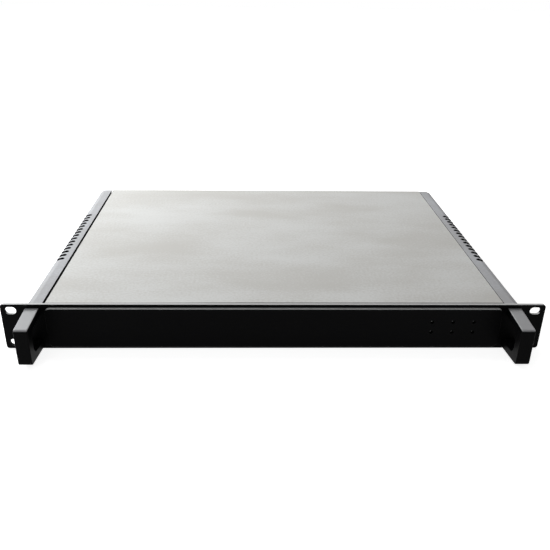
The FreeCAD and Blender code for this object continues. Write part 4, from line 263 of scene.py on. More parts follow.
@cache
def mottle_group() -> bpy.types.NodeTree:
    """Makes soft clouds: broad noise, stretched along X by Stretch, with a share Speck of fine noise.

    Returns:
        The group.
    """
    effect = Effect("mottle", {"Scale": 9.0, "Stretch": 1.0, "Fine": 70.0, "Speck": 0.3}, "Factor")
    graph, inputs = effect.graph, effect.inputs
    place = graph.add("TexCoord").outputs["Object"]
    cloud = {"Vector": effect.stretched(place), "Scale": inputs["Scale"], "Detail": 4.0}
    broad = graph.add("TexNoise", cloud).outputs[0]
    fine = graph.add("TexNoise", {"Vector": place, "Scale": inputs["Fine"], "Detail": 3.0}).outputs[0]
    share = graph.math("SUBTRACT", 1.0, inputs["Speck"])
    total = graph.math("ADD", graph.every(broad, share), graph.every(fine, inputs["Speck"]))
    return effect.finish(graph.ramp(total, low=0.35, high=0.65))


@cache
def scratch_group() -> bpy.types.NodeTree:
    """Makes sparse handling marks: thin bands where a long stretched noise crosses its middle.

    Returns:
        The group.
    """
    effect = Effect("handling marks", {"Scale": 40.0, "Width": 0.012}, "Mask")
    graph = effect.graph
    place = graph.add("TexCoord").outputs["Object"]
    slant = {"Vector": place, "Rotation": (0.3, 0.1, 0.5), "Scale": (0.12, 1.0, 1.0)}
    streaks = {"Vector": graph.add("Mapping", slant).outputs[0], "Scale": effect.inputs["Scale"]}
    noise = graph.add("TexNoise", {**streaks, "Detail": 2.0, "Distortion": 0.4}).outputs[0]
    line = graph.below(graph.distance(noise, 0.5), effect.inputs["Width"])
    patch = graph.add("TexNoise", {"Vector": place, "Scale": 14.0, "Detail": 1.0}).outputs[0]
    return effect.finish(graph.every(line, graph.ramp(patch, low=0.55, high=0.7)))


@cache
def upward_faces_group() -> bpy.types.NodeTree:
    """Makes the mask of faces that look up, which places the painted sheen and the coat: a smooth step of the
    normal's Z from Start to Full.

    Returns:
        The group.
    """
    effect = Effect("upward faces", {"Start": 0.5, "Full": 0.9}, "Mask")
    up = effect.graph.normal()["Z"]
    return effect.finish(effect.graph.ramp(up, effect.inputs["Start"], effect.inputs["Full"]))


# ---- finishes -----------------------------------------------------------------------------------
class Sheen(Enum):
    """How a surface answers light apart from its colour."""

    DIELECTRIC = 0.0
    METAL = 1.0


@dataclass(frozen=True)
class Finish:
    """A surface finish: colours, gloss and grain.

    Attributes:
        name: the material's name.
        color: main colour, linear.
        second: colour that the mottling goes towards.
        roughness: middle roughness.
        spread: how far the roughness varies about its middle.
        sheen: metal or not.
        specular: strength of the reflection at normal incidence for what isn't metal.
        grain: bump height of the fine grain, in metres.
        grain_scale: grains per metre.
        stretch: how much longer the grains are along X.
        edge: radius by which sharp edges look rounded, in metres.
        edge_color: colour that worn edges and marks go towards.
        wear: how strong the handling marks are, 0 to 1.
        clouds: the mottling's scale, stretch along X, fine scale and share of fine noise.
        coat: clear coat weight.
        coat_roughness: clear coat roughness.
    """

    name: str
    color: Color
    second: Color
    roughness: float
    spread: float = 0.06
    sheen: Sheen = Sheen.DIELECTRIC
    specular: float = 0.5
    grain: float = 0.00002
    grain_scale: float = 1500.0
    stretch: float = 1.0
    edge: float = 0.0002
    edge_color: Color = (0.5, 0.5, 0.5)
    wear: float = 0.0
    clouds: tuple[float, float, float, float] = (9.0, 1.0, 70.0, 0.3)
    coat: float = 0.0
    coat_roughness: float = 0.1

    def base_color(self, graph: Graph) -> Socket:
        """Works out the colour with its mottling and marks.

        Args:
            graph: the material's graph.

        Returns:
            The colour's socket.
        """
        values = dict(zip(("Scale", "Stretch", "Fine", "Speck"), self.clouds))
        cloud = graph.add("Group", values, node_tree=mottle_group()).outputs[0]
        color = graph.blend(cloud, self.color, self.second)
        if self.wear:
            marks = graph.add("Group", node_tree=scratch_group()).outputs[0]
            color = graph.blend(graph.every(marks, self.wear), color, self.edge_color)
        return color

    def coat_weight(self, graph: Graph) -> Value:
        """Gives the clear coat's weight, a number or a socket where it varies."""
        return self.coat

    def dullness(self, graph: Graph) -> Value:
        """Gives how far the surface is fully rough instead of its own roughness, 0 to 1."""
        return 0.0

    def metalness(self, graph: Graph) -> Value:
        """Gives how far the surface is metal, 0 to 1."""
        return self.sheen.value

    def material(self) -> bpy.types.Material:
        """Builds the material.

        Returns:
            The material, ready for a slot.
        """
        material = bpy.data.materials.new(self.name)
        material.use_nodes = True
        material.node_tree.nodes.clear()
        graph = Graph(material.node_tree)
        grains = {"Scale": self.grain_scale, "Stretch": self.stretch}
        grain = graph.add("Group", grains, node_tree=grain_group()).outputs[0]
        middle = {0: grain, 1: 2.0 * self.spread, 2: self.roughness - self.spread}
        varied = graph.add("Math", middle, operation="MULTIPLY_ADD").outputs[0]
        rounded = graph.add("Bevel", {"Radius": self.edge}, samples=4).outputs[0]
        bump = graph.add("Bump", {"Height": grain, "Distance": self.grain, "Normal": rounded}).outputs[0]
        shader = graph.add("BsdfPrincipled", {
            "Base Color": self.base_color(graph),
            "Metallic": self.metalness(graph),
            "Roughness": graph.math("MAXIMUM", varied, self.dullness(graph)),
            "Specular IOR Level": self.specular,
            "Coat Weight": self.coat_weight(graph),
            "Coat Roughness": self.coat_roughness,
            "Normal": bump,
        })
        graph.add("OutputMaterial", {"Surface": shader.outputs[0]})
        return material


@dataclass(frozen=True)
class BlackCoatFinish(Finish):
    """Satin black coat with more polish on the upper faces, a pale painted sheen on them that stands for the
    backdrop's reflection, and painted highlights on their rounded edges.

    Attributes:
        film: colour of the painted sheen on the upper faces in front of the split, standing for their
            reflection.
        behind: colour of the painted sheen behind it.
        split: the place along Y where the painted sheen changes, in metres.
        lowest: the height above which upper faces have the painted sheen, in metres.
        painted_edge_highlight: colour of the painted highlight that the rounded edges of the upper faces go
            towards.
        edge_highlight_strength: how far they go.
    """

    film: Color = (0.3, 0.3, 0.3)
    behind: Color = (0.3, 0.3, 0.3)
    split: float = -0.0031
    lowest: float = 0.01
    painted_edge_highlight: Color = (0.55, 0.55, 0.56)
    edge_highlight_strength: float = 0.7

    def base_color(self, graph: Graph) -> Socket:
        """Works out the coat's colour, going to the painted sheen's colour where an upper face looks up, and
        to a painted highlight on its rounded edges.

        Args:
            graph: the material's graph.

        Returns:
            The colour's socket.
        """
        coat = super().base_color(graph)
        place, normal = graph.place(), graph.normal()
        # painted sheen: a pale colour on upper faces that stands for the bright backdrop's reflection
        film = graph.blend(graph.above(place["Y"], self.split), self.film, self.behind)
        tilt = graph.math("ABSOLUTE", normal["X"])
        sloping = graph.every(graph.ramp(tilt, low=0.2, high=0.5), graph.below(tilt, 0.8))
        # painted highlight on the rounded side edges of the upper faces
        edges = graph.every(sloping, graph.above(normal["Z"], 0.3), self.edge_highlight_strength)
        film = graph.blend(edges, film, self.painted_edge_highlight)
        mask = graph.add("Group", {"Start": 0.45, "Full": 0.8}, node_tree=upward_faces_group()).outputs[0]
        return graph.blend(graph.every(mask, graph.above(place["Z"], self.lowest)), coat, film)

    def coat_weight(self, graph: Graph) -> Socket:
        """Gives the polish on the faces that look up."""
        mask = graph.add("Group", {"Start": 0.3, "Full": 0.9}, node_tree=upward_faces_group()).outputs[0]
        return graph.every(mask, self.coat)


@dataclass(frozen=True)
class CutSheetFinish(Finish):
    """Coated sheet: pale outer faces and darker rails, with painted shade on the sloping folds and a dark
    colour painted as shade on cut edges, inner faces, ledges, gap lines and vent rims.

    Attributes:
        rail: factors by which the side rails' coat is darker and cooler than the cover's.
        fold: painted shade: factors that darken the sloping fold along the right rail.
        left_fold_shade: painted shade: the same for the left rail, darker as the key lamp lights that side
            more.
        bare: colour painted as shade on cut edges, inner faces, ledges, the gap lines and the vent rims.
        seam: half-width of the cover, in metres, beyond which the rails start.
        inner: half-width inside which faces that look sideways, down or forward get the dark colour painted
            as shade.
        skin: half-width of the rails' outer faces.
        top: height above which faces that look up are the outer ones.
        bottom: height below which faces are the outer ones.
        ends: where the tray's front edge ends and its rear edge starts, along Y.
        rear: where the rear panel starts along Y.
        ledge: lowest height and least half-width of the steps that carry the cover.
        gap: the half-widths of the two edges beside the left seam.
        gap_shade_width: width of the dark line painted as shade along them.
        front_gap_shade: colour of the shade painted as a line along the cover's front edge, where it meets
            the front panel.
        brow: the place along Y where that line ends.
        brow_strength: how strong that line is on the left, and how much it gains to the right.
        brow_rise: where along X it gains it.
        vent_start: the first vent's place along Y.
        vent_pitch: the vents' spacing.
        vent_half: half a vent's width.
        vent_end: how far the vents' inner ends are from the middle plane.
        vent_count: how many vents each rail has.
        rim: width of the dark rim painted as shade around each vent.
    """

    rail: Color = (0.70, 0.71, 0.76)
    fold: Color = (0.60, 0.60, 0.66)
    left_fold_shade: Color = (0.34, 0.34, 0.38)
    bare: Color = (0.012, 0.011, 0.012)
    seam: float = 0.2044
    inner: float = 0.2062
    skin: float = 0.2182
    top: float = 0.0212
    bottom: float = -0.0215
    ends: tuple[float, float] = (0.0015, 0.339)
    rear: float = 0.335
    ledge: tuple[float, float] = (0.01, 0.2035)
    gap: tuple[float, float] = (0.2032, 0.2048)
    gap_shade_width: float = 0.0004
    front_gap_shade: Color = (0.05, 0.04, 0.045)
    brow: float = 0.0021
    brow_strength: tuple[float, float] = (0.25, 0.7)
    brow_rise: tuple[float, float] = (-0.13, -0.01)
    vent_start: float = 0.103
    vent_pitch: float = 0.00968
    vent_half: float = 0.0024
    vent_end: float = 0.2134
    vent_count: int = 15
    rim: float = 0.0007

    def vent_shade_rims(self, graph: Graph, side: Socket, along: Socket, up: Socket) -> Socket:
        """Finds the rims that get the painted shade: points nearer than half + rim to the middle line of the
        nearest vent.

        Args:
            graph: the material's graph.
            side: how far a point is from the middle plane.
            along: its place along Y.
            up: how far its face looks up.

        Returns:
            The rims' mask.
        """
        start = self.vent_start - self.vent_pitch / 2.0
        steps = graph.math("DIVIDE", graph.math("SUBTRACT", along, start), self.vent_pitch)
        across = graph.every(graph.math("SUBTRACT", graph.math("FRACT", steps), 0.5), self.vent_pitch)
        past = graph.math("MAXIMUM", graph.math("SUBTRACT", self.vent_end, side), 0.0)
        squares = graph.math("ADD", graph.every(across, across), graph.every(past, past))
        near = graph.below(squares, (self.vent_half + self.rim) ** 2)
        row = graph.every(graph.above(steps, 0.0), graph.below(steps, float(self.vent_count)))
        return graph.every(near, row, graph.above(side, self.inner), graph.above(up, FACING / 2.0))

    @cache
    def regions(self, graph: Graph) -> tuple[Socket, Socket, Socket]:
        """Works out masks from a point's place and its face's direction.

        Args:
            graph: the material's graph.

        Returns:
            The masks of the rails, of their sloping folds, and of where the dark colour is painted as shade.
        """
        place, normal = graph.place(), graph.normal()
        side = graph.math("ABSOLUTE", place["X"])
        outward = graph.math("ABSOLUTE", normal["X"])
        along = graph.math("ABSOLUTE", normal["Y"])
        beyond = graph.above(side, self.inner)
        under = graph.below(place["Z"], self.top)
        rails = graph.every(
            graph.above(side, self.seam), graph.below(along, FACING), graph.above(normal["Z"], -FACING)
        )
        slope = graph.every(graph.ramp(outward, low=0.25, high=0.6), graph.above(normal["Z"], 0.25))
        fold = graph.every(rails, slope)
        within = graph.every(
            graph.below(side, self.inner), graph.below(normal["Z"], FACING),
            graph.below(normal["Y"], FACING), graph.above(place["Z"], self.bottom),
            graph.below(place["Y"], self.rear),
        )
        slots = graph.every(
            beyond, graph.above(along, FACING), graph.above(place["Y"], self.ends[0]),
            graph.below(place["Y"], self.ends[1]),
        )
        ledge = graph.every(
            graph.above(normal["Z"], 0.95), under, graph.above(place["Z"], self.ledge[0]),
            graph.above(side, self.ledge[1]),
        )
        walls = graph.every(
            graph.above(outward, FACING), beyond, graph.below(side, self.skin), graph.below(normal["Z"], 0.3)
        )
        hem = graph.every(graph.below(place["Y"], self.ends[0]), under)
        gap_shade_lines = graph.every(
            graph.below(place["X"], self.gap_shade_width - self.gap[0]), graph.above(place["X"], -self.gap[1] - self.gap_shade_width),
            graph.above(normal["Z"], FACING),
        )
        # painted shade: inner faces, slot walls, ledges, walls, the front hem, the gap lines and the vent
        # rims take the dark colour
        painted_shade_mask = within
        for mask in (slots, ledge, walls, hem, gap_shade_lines, self.vent_shade_rims(graph, side, place["Y"], normal["Z"])):
            painted_shade_mask = graph.math("MAXIMUM", painted_shade_mask, mask)
        return rails, fold, painted_shade_mask

    def base_color(self, graph: Graph) -> Socket:
        """Works out the outer coat by region, with painted shade on the folds and along the cover's front
        edge, or the dark colour painted as shade on cut edges and inner faces.

        Args:
            graph: the material's graph.

        Returns:
            The colour's socket.
        """
        rails, fold, painted_shade_mask = self.regions(graph)
        place = graph.place()
        tint = graph.blend(rails, WHITE, self.rail)
        # painted shade: the sloping folds are darkened, the left one more as the key lamp lights it
        fold_shade = graph.blend(graph.above(place["X"], 0.0), self.left_fold_shade, self.fold)
        tint = graph.blend(fold, tint, fold_shade)
        factors = {0: 1.0, 6: super().base_color(graph), 7: tint}
        outer = graph.add("Mix", factors, data_type="RGBA", blend_type="MULTIPLY").outputs[2]
        # painted shade: a dark line along the cover's front edge, where it meets the front panel, stronger to
        # the right
        least, gain = self.brow_strength
        strength = graph.math("ADD", least, graph.every(graph.ramp(place["X"], *self.brow_rise), gain))
        cover = graph.below(graph.math("ABSOLUTE", place["X"]), self.seam)
        edge = graph.every(graph.below(place["Y"], self.brow), cover, strength)
        return graph.blend(painted_shade_mask, graph.blend(edge, outer, self.front_gap_shade), self.bare)

    def dullness(self, graph: Graph) -> Socket:
        """Gives full roughness on the folds and wherever the dark colour is painted as shade."""
        _, fold, painted_shade_mask = self.regions(graph)
        return graph.math("MAXIMUM", fold, painted_shade_mask)


@dataclass(frozen=True)
class BoardFinish(Finish):
    """Circuit board: solder mask over fine right-angled traces, with small bright pads.

    Attributes:
        trace: colour of the mask over copper.
        pad: colour of bare pads.
        pitch: the traces' spacing, in metres.
        cells: cells of traces in a pitch.
        lines: traces in a cell.
        width: half a trace's width, as a share of its spacing.
        dots: places for pads in a pitch.
        dot: a pad's radius, as a share of their spacing.
        bare: noise level above which a place has its pad.
    """

    trace: Color = (0.03, 0.2, 0.1)
    pad: Color = (0.7, 0.6, 0.35)
    pitch: float = 0.0021
    cells: float = 0.14
    lines: float = 6.0
    width: float = 0.16
    dots: float = 0.6
    dot: float = 0.16
    bare: float = 0.56

    def base_color(self, graph: Graph) -> Socket:
        """Works out mask, traces and pads: traces are level lines of the distance to square cells.

        Args:
            graph: the material's graph.

        Returns:
            The colour's socket.
        """
        mask = super().base_color(graph)
        place = graph.add("TexCoord").outputs["Object"]
        squares = {"Vector": place, "Scale": self.cells / self.pitch}
        cells = graph.add("TexVoronoi", squares, distance="CHEBYCHEV", feature="F1").outputs["Distance"]
        wave = graph.math("FRACT", graph.every(cells, self.lines))
        color = graph.blend(graph.below(graph.distance(wave, 0.5), self.width), mask, self.trace)
        field = {"Vector": place, "Scale": self.dots / self.pitch, "Randomness": 0.6}
        dots = graph.add("TexVoronoi", field).outputs["Distance"]
        patch = graph.add("TexNoise", {"Vector": place, "Scale": 55.0}).outputs[0]
        pads = graph.every(graph.below(dots, self.dot), graph.above(patch, self.bare))
        return graph.blend(pads, color, self.pad)


@dataclass(frozen=True)
class MemoryFinish(BoardFinish):
    """Circuit board whose raised chips are black.

    Attributes:
        middle: the place of the board's middle plane along Y, in metres.
        half: half the board's thickness, in metres.
        chip: the chips' colour.
    """

    middle: float = 0.0
    half: float = 0.0007
    chip: Color = (0.02, 0.02, 0.021)

    def base_color(self, graph: Graph) -> Socket:
        """Works out the board's colour near its middle plane and the chips' away from it.

        Args:
            graph: the material's graph.

        Returns:
            The colour's socket.
        """
        raised = graph.above(graph.distance(graph.place()["Y"], self.middle), self.half)
        return graph.blend(raised, super().base_color(graph), self.chip)


@dataclass(frozen=True)
class PlatedFinish(Finish):
    """Zinc or nickel plating with faint crystal facets.

    Attributes:
        facets: facets per metre.
        contrast: how much the facets differ.
    """

    facets: float = 90.0
    contrast: float = 0.25

    def base_color(self, graph: Graph) -> Socket:
        """Works out the mottled colour, lighter or darker from facet to facet.

        Args:
            graph: the material's graph.

        Returns:
            The colour's socket.
        """
        color = super().base_color(graph)
        place = graph.add("TexCoord").outputs["Object"]
        cell = graph.add("TexVoronoi", {"Vector": place, "Scale": self.facets}).outputs["Color"]
        shade = graph.add("SeparateXYZ", {0: cell}).outputs["X"]
        return graph.blend(graph.every(shade, self.contrast), color, self.edge_color)


@dataclass(frozen=True)
class WovenFinish(Finish):
    """Braided sleeve: two sets of slanting strands that cross over and under each other.

    Attributes:
        strands: strands per metre.
        gap: colour between the strands.
        depth: product of the two waves below which a gap shows.
    """

    strands: float = 900.0
    gap: Color = (0.004, 0.004, 0.004)
    depth: float = -0.1

    def base_color(self, graph: Graph) -> Socket:
        """Works out the strands' colour, dark where sin(k(x + y + z)) sin(k(x - y + z)) is low.

        Args:
            graph: the material's graph.

        Returns:
            The colour's socket.
        """
        color = super().base_color(graph)
        place = graph.place()
        along = graph.math("ADD", place["X"], graph.math("ADD", place["Y"], place["Z"]))
        across = graph.math("SUBTRACT", place["X"], graph.math("SUBTRACT", place["Y"], place["Z"]))
        turn = 2.0 * math.pi * self.strands
        first = graph.math("SINE", graph.every(along, turn))
        second = graph.math("SINE", graph.every(across, turn))
        return graph.blend(graph.below(graph.every(first, second), self.depth), color, self.gap)


@dataclass(frozen=True)
class Mouth:
    """The opening of one connector, with plastic inside.

    Attributes:
        x: its middle along X, in metres.
        z: its middle along Z.
        half_width: half its width.
        half_height: half its height.
        outer: where it opens, along Y.
        color: the plastic's colour.
    """

    x: float
    z: float
    half_width: float
    half_height: float
    outer: float
    color: Color = (0.015, 0.015, 0.016)


@dataclass(frozen=True)
class PortFinish(PlatedFinish):
    """Plated connector shells with coloured plastic inside their mouths.

    Attributes:
        mouths: the connectors' mouths.
        deepest: the place along Y of the deepest mouth's floor, in metres.
    """

    mouths: tuple[Mouth, ...] = ()
    deepest: float = 0.3275

    @cache
    def insides(self, graph: Graph) -> list[tuple[Socket, Color]]:
        """Finds the mask of each mouth's inside.

        Args:
            graph: the material's graph.

        Returns:
            The masks with their colours.
        """
        place = graph.place()
        behind = graph.above(place["Y"], self.deepest)
        found = []
        for mouth in self.mouths:
            beside = graph.below(graph.distance(place["X"], mouth.x), mouth.half_width)
            level = graph.below(graph.distance(place["Z"], mouth.z), mouth.half_height)
            before = graph.below(place["Y"], mouth.outer)
            found.append((graph.every(beside, level, before, behind), mouth.color))
        return found

    def base_color(self, graph: Graph) -> Socket:
        """Works out the plating, or the plastic's colour inside a mouth.

        Args:
            graph: the material's graph.

        Returns:
            The colour's socket.
        """
        result = super().base_color(graph)
        for mask, color in self.insides(graph):
            result = graph.blend(mask, result, color)
        return result

    def metalness(self, graph: Graph) -> Socket:
        """Gives metal outside the mouths and plastic inside them.

        Args:
            graph: the material's graph.

        Returns:
            The socket, 1 on metal.
        """
        inside = 0.0
        for mask, _ in self.insides(graph):
            inside = graph.math("MAXIMUM", inside, mask)
        return graph.math("SUBTRACT", 1.0, inside)


BLACK_COAT = dict(
    second=(0.0020, 0.0020, 0.0022), roughness=0.42, specular=0.03, grain=0.00001, edge=0.0003, coat=0.15,
    coat_roughness=0.25,
)
MOUTHS = (
    Mouth(0.001, -0.00645, 0.0079, 0.0036, 0.3396, (0.015, 0.10, 0.11)),
    Mouth(0.035, -0.00645, 0.0076, 0.0034, 0.3450, (0.010, 0.045, 0.22)),
    *(Mouth(x, -0.0049, 0.0062, 0.0072, 0.3414) for x in (0.061, 0.078)),
    *(Mouth(x, -0.0059, 0.0062, 0.0062, 0.3412) for x in (0.098, 0.117)),
)
FINISHES: dict[str, Finish] = {finish.name: finish for finish in (
    # painted sheen: the two pale colours below stand for the upper faces' reflection of the backdrop
    BlackCoatFinish(
        "front_black", (0.0015, 0.0015, 0.0017), film=(0.54, 0.54, 0.54), behind=(0.56, 0.56, 0.56),
        **BLACK_COAT,
    ),
    BlackCoatFinish(
        "handle_metal", (0.001, 0.001, 0.0011), film=(0.385, 0.385, 0.395), behind=(0.385, 0.385, 0.395),
        **BLACK_COAT,
    ),
    CutSheetFinish(
        "case_steel", (0.67, 0.67, 0.66), (0.565, 0.553, 0.53), 0.45, grain=0.00003, grain_scale=1100.0,
        specular=0.1, wear=0.05, clouds=(20.0, 2.4, 420.0, 0.42),
    ),
    PlatedFinish(
        "zinc_sheet", (0.36, 0.37, 0.385), (0.29, 0.30, 0.32), 0.40, sheen=Sheen.METAL,
        edge_color=(0.46, 0.475, 0.49),
    ),
    PlatedFinish(
        "fastener_steel", (0.36, 0.36, 0.37), (0.28, 0.28, 0.30), 0.32, sheen=Sheen.METAL, facets=600.0,
        edge=0.0001,
    ),
    PortFinish(
        "bright_metal", (0.48, 0.48, 0.47), (0.40, 0.40, 0.40), 0.26, sheen=Sheen.METAL, facets=300.0,
        contrast=0.12, edge_color=(0.8, 0.8, 0.8), grain=0.000005, mouths=MOUTHS,
    ),
    Finish(
        "sink_aluminium", (0.50, 0.51, 0.525), (0.43, 0.44, 0.455), 0.36, sheen=Sheen.METAL, grain=0.00001,
        stretch=12.0,
    ),
    Finish(
        "brass_spacer", (0.70, 0.52, 0.22), (0.60, 0.43, 0.17), 0.3, sheen=Sheen.METAL, grain=0.000008,
        stretch=0.1,
    ),
    BoardFinish(
        "circuit_board", (0.010, 0.085, 0.040), (0.014, 0.10, 0.048), 0.35, grain=0.00001, coat=0.2
    ),
    Finish("component_black", (0.018, 0.018, 0.019), (0.028, 0.028, 0.029), 0.48, edge=0.00015),
    Finish("fan_plastic", (0.016, 0.016, 0.017), (0.022, 0.022, 0.024), 0.36),
    Finish("rocker_plastic", (0.014, 0.014, 0.014), (0.02, 0.02, 0.02), 0.22, grain=0.000004),
    Finish("latch_plastic", (0.72, 0.71, 0.66), (0.66, 0.65, 0.60), 0.4, grain=0.000006),
    Finish("smoked_lens", (0.010, 0.010, 0.012), (0.02, 0.02, 0.022), 0.12, grain=0.000002, coat=0.3),
    Finish(
        "drive_shell", (0.32, 0.33, 0.345), (0.27, 0.28, 0.295), 0.36, sheen=Sheen.METAL, grain=0.00001,
        stretch=10.0,
    ),
    WovenFinish("cable_black", (0.016, 0.016, 0.017), (0.028, 0.028, 0.03), 0.5),
)}


def memory_finish(node: str) -> MemoryFinish:
    """Makes the finish of a memory module, which needs the module's middle plane.

    Args:
        node: the module's CAD node.

    Returns:
        The finish.
    """
    low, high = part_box(node)
    return MemoryFinish(
        node.replace("module", "board"), (0.008, 0.10, 0.045), (0.012, 0.12, 0.052), 0.35, grain=0.00001,
        coat=0.2, middle=(low[1] + high[1]) / 2.0,
    )


# ---- surfaces -----------------------------------------------------------------------------------
def loft_mesh(name: str, rings: np.ndarray) -> bpy.types.Mesh:
    """Skins a stack of closed rings, from ring i, point j to ring i + 1, point j + 1, and caps its ends.

    Args:
        name: the mesh's name.
        rings: points, shaped (rings, points, 3), in metres, each ring turning the same way about its line.

    Returns:
        The mesh, with its normals outward and smooth apart from sharp edges.
    """
    count, around = rings.shape[:2]
    row, column = np.meshgrid(np.arange(count - 1), np.arange(around), indexing="ij")
    here, following = row * around, (column + 1) % around
    corners = (here + column, here + following, here + around + following, here + around + column)
    faces = np.stack(corners, axis=-1).reshape(-1, 4).tolist()
    first = np.arange(around)
    faces += [first[::-1].tolist(), (first + (count - 1) * around).tolist()]
    mesh = bpy.data.meshes.new(name)
    mesh.from_pydata(rings.reshape(-1, 3).tolist(), [], faces)
    build = bmesh.new()
    build.from_mesh(mesh)
    bmesh.ops.recalc_face_normals(build, faces=build.faces)
    build.to_mesh(mesh)
    build.free()
    return smoothed(mesh)


def smoothed(mesh: bpy.types.Mesh) -> bpy.types.Mesh:
    """Shades a mesh smoothly, apart from its sharp edges.

    Args:
        mesh: the mesh, which is changed.

    Returns:
        The same mesh.
    """
    mesh.polygons.foreach_set("use_smooth", np.ones(len(mesh.polygons), bool))
    mesh.set_sharp_from_angle(angle=SMOOTH_ANGLE)
    return mesh


def rounded_rings(stations: np.ndarray, corner: float, around: int = 32) -> np.ndarray:
    """Rounded rectangles along a line: u = a sgn(cos t) |cos t|^corner, v = b sgn(sin t) |sin t|^corner.

    Args:
        stations: rows of place along the line, half-width a and half-height b.
        corner: exponent of the outline, where 1 is an ellipse and near 0 a rectangle.
        around: points in a ring.

    Returns:
        Points shaped (stations, around, 3), with the columns along the line, u and v.
    """
    turn = (np.arange(around) + 0.5) * 2.0 * np.pi / around
    outline = np.stack([np.sign(f) * np.abs(f) ** corner for f in (np.cos(turn), np.sin(turn))], axis=-1)
    places = np.broadcast_to(stations[:, None, :1], (len(stations), around, 1))
    return np.concatenate([places, outline[None] * stations[:, None, 1:]], axis=-1)


def repeated_mesh(name: str, rings: np.ndarray, places: np.ndarray, turns: np.ndarray) -> bpy.types.Mesh:
    """Skins copies of one closed loft, each turned about Z and moved: q = R(turn) p + place.

    Args:
        name: the mesh's name.
        rings: the loft's points, shaped (rings, points, 3), in metres.
        places: the copies' places, shaped (copies, 3).
        turns: the copies' turns, in radians.

    Returns:
        The mesh, with its normals outward and smooth apart from sharp edges.
    """
    single = loft_mesh(name + "_one", rings)
    corners = np.empty(len(single.loops), np.int32)
    single.loops.foreach_get("vertex_index", corners)
    starts = np.empty(len(single.polygons), np.int32)
    single.polygons.foreach_get("loop_start", starts)
    bpy.data.meshes.remove(single)
    points = rings.reshape(-1, 3)
    cosine, sine = np.cos(turns)[:, None], np.sin(turns)[:, None]
    turned = np.stack([
        cosine * points[:, 0] - sine * points[:, 1], sine * points[:, 0] + cosine * points[:, 1],
        np.broadcast_to(points[:, 2], (len(places), len(points))),
    ], axis=-1)
    copies = np.arange(len(places))[:, None]
    mesh = bpy.data.meshes.new(name)
    mesh.vertices.add(len(places) * len(points))
    mesh.vertices.foreach_set("co", (turned + places[:, None, :]).ravel())
    mesh.loops.add(len(places) * len(corners))
    mesh.loops.foreach_set("vertex_index", (corners + copies * len(points)).ravel())
    mesh.polygons.add(len(places) * len(starts))
    mesh.polygons.foreach_set("loop_start", (starts + copies * len(corners)).ravel())
    mesh.update(calc_edges=True)
    return smoothed(mesh)


def add_piece(name: str, data: bpy.types.ID, slot: str, materials: Materials) -> bpy.types.Object:
    """Adds a piece with its finish, on the chassis.

    Args:
        name: the piece's name.
        data: its mesh or curve.
        slot: the record's material slot.
        materials: the materials by slot.

    Returns:
        The piece.
    """
    piece = bpy.data.objects.new(name, data)
    bpy.context.scene.collection.objects.link(piece)
    data.materials.append(materials[slot])
    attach(piece, "chassis")
    return piece


# ---- cables inside the case ---------------------------------------------------------------------
class Stiffness(Enum):
    """How stiff a cable is."""

    LIMP = "limp"
    MEDIUM = "medium"


class Axis(Enum):
    """The direction along a plug's length."""

    X = 0
    Y = 1


@dataclass(frozen=True)
class Cable:
    """One cable: its route and facts.

    Attributes:
        name: the piece's name.
        radius: its radius, in millimetres.
        length: its own length, in millimetres.
        stiffness: how stiff it is.
        route: the points that it is drawn along, in millimetres.
    """

    name: str
    radius: float
    length: float
    stiffness: Stiffness
    route: tuple[Point, ...]

    def curve(self) -> bpy.types.Curve:
        """Builds the cable's smooth line, a NURBS spline on the route, with its round section.

        Returns:
            The curve.
        """
        curve = bpy.data.curves.new(self.name, "CURVE")
        curve.dimensions = "3D"
        curve.bevel_depth = self.radius * MM
        curve.bevel_resolution = 5
        curve.resolution_u = 16
        curve.use_fill_caps = True
        spline = curve.splines.new("NURBS")
        spline.points.add(len(self.route) - 1)
        for point, place in zip(spline.points, self.route):
            point.co = (*(value * MM for value in place), 1.0)
        spline.order_u = 3
        spline.use_endpoint_u = True
        return curve


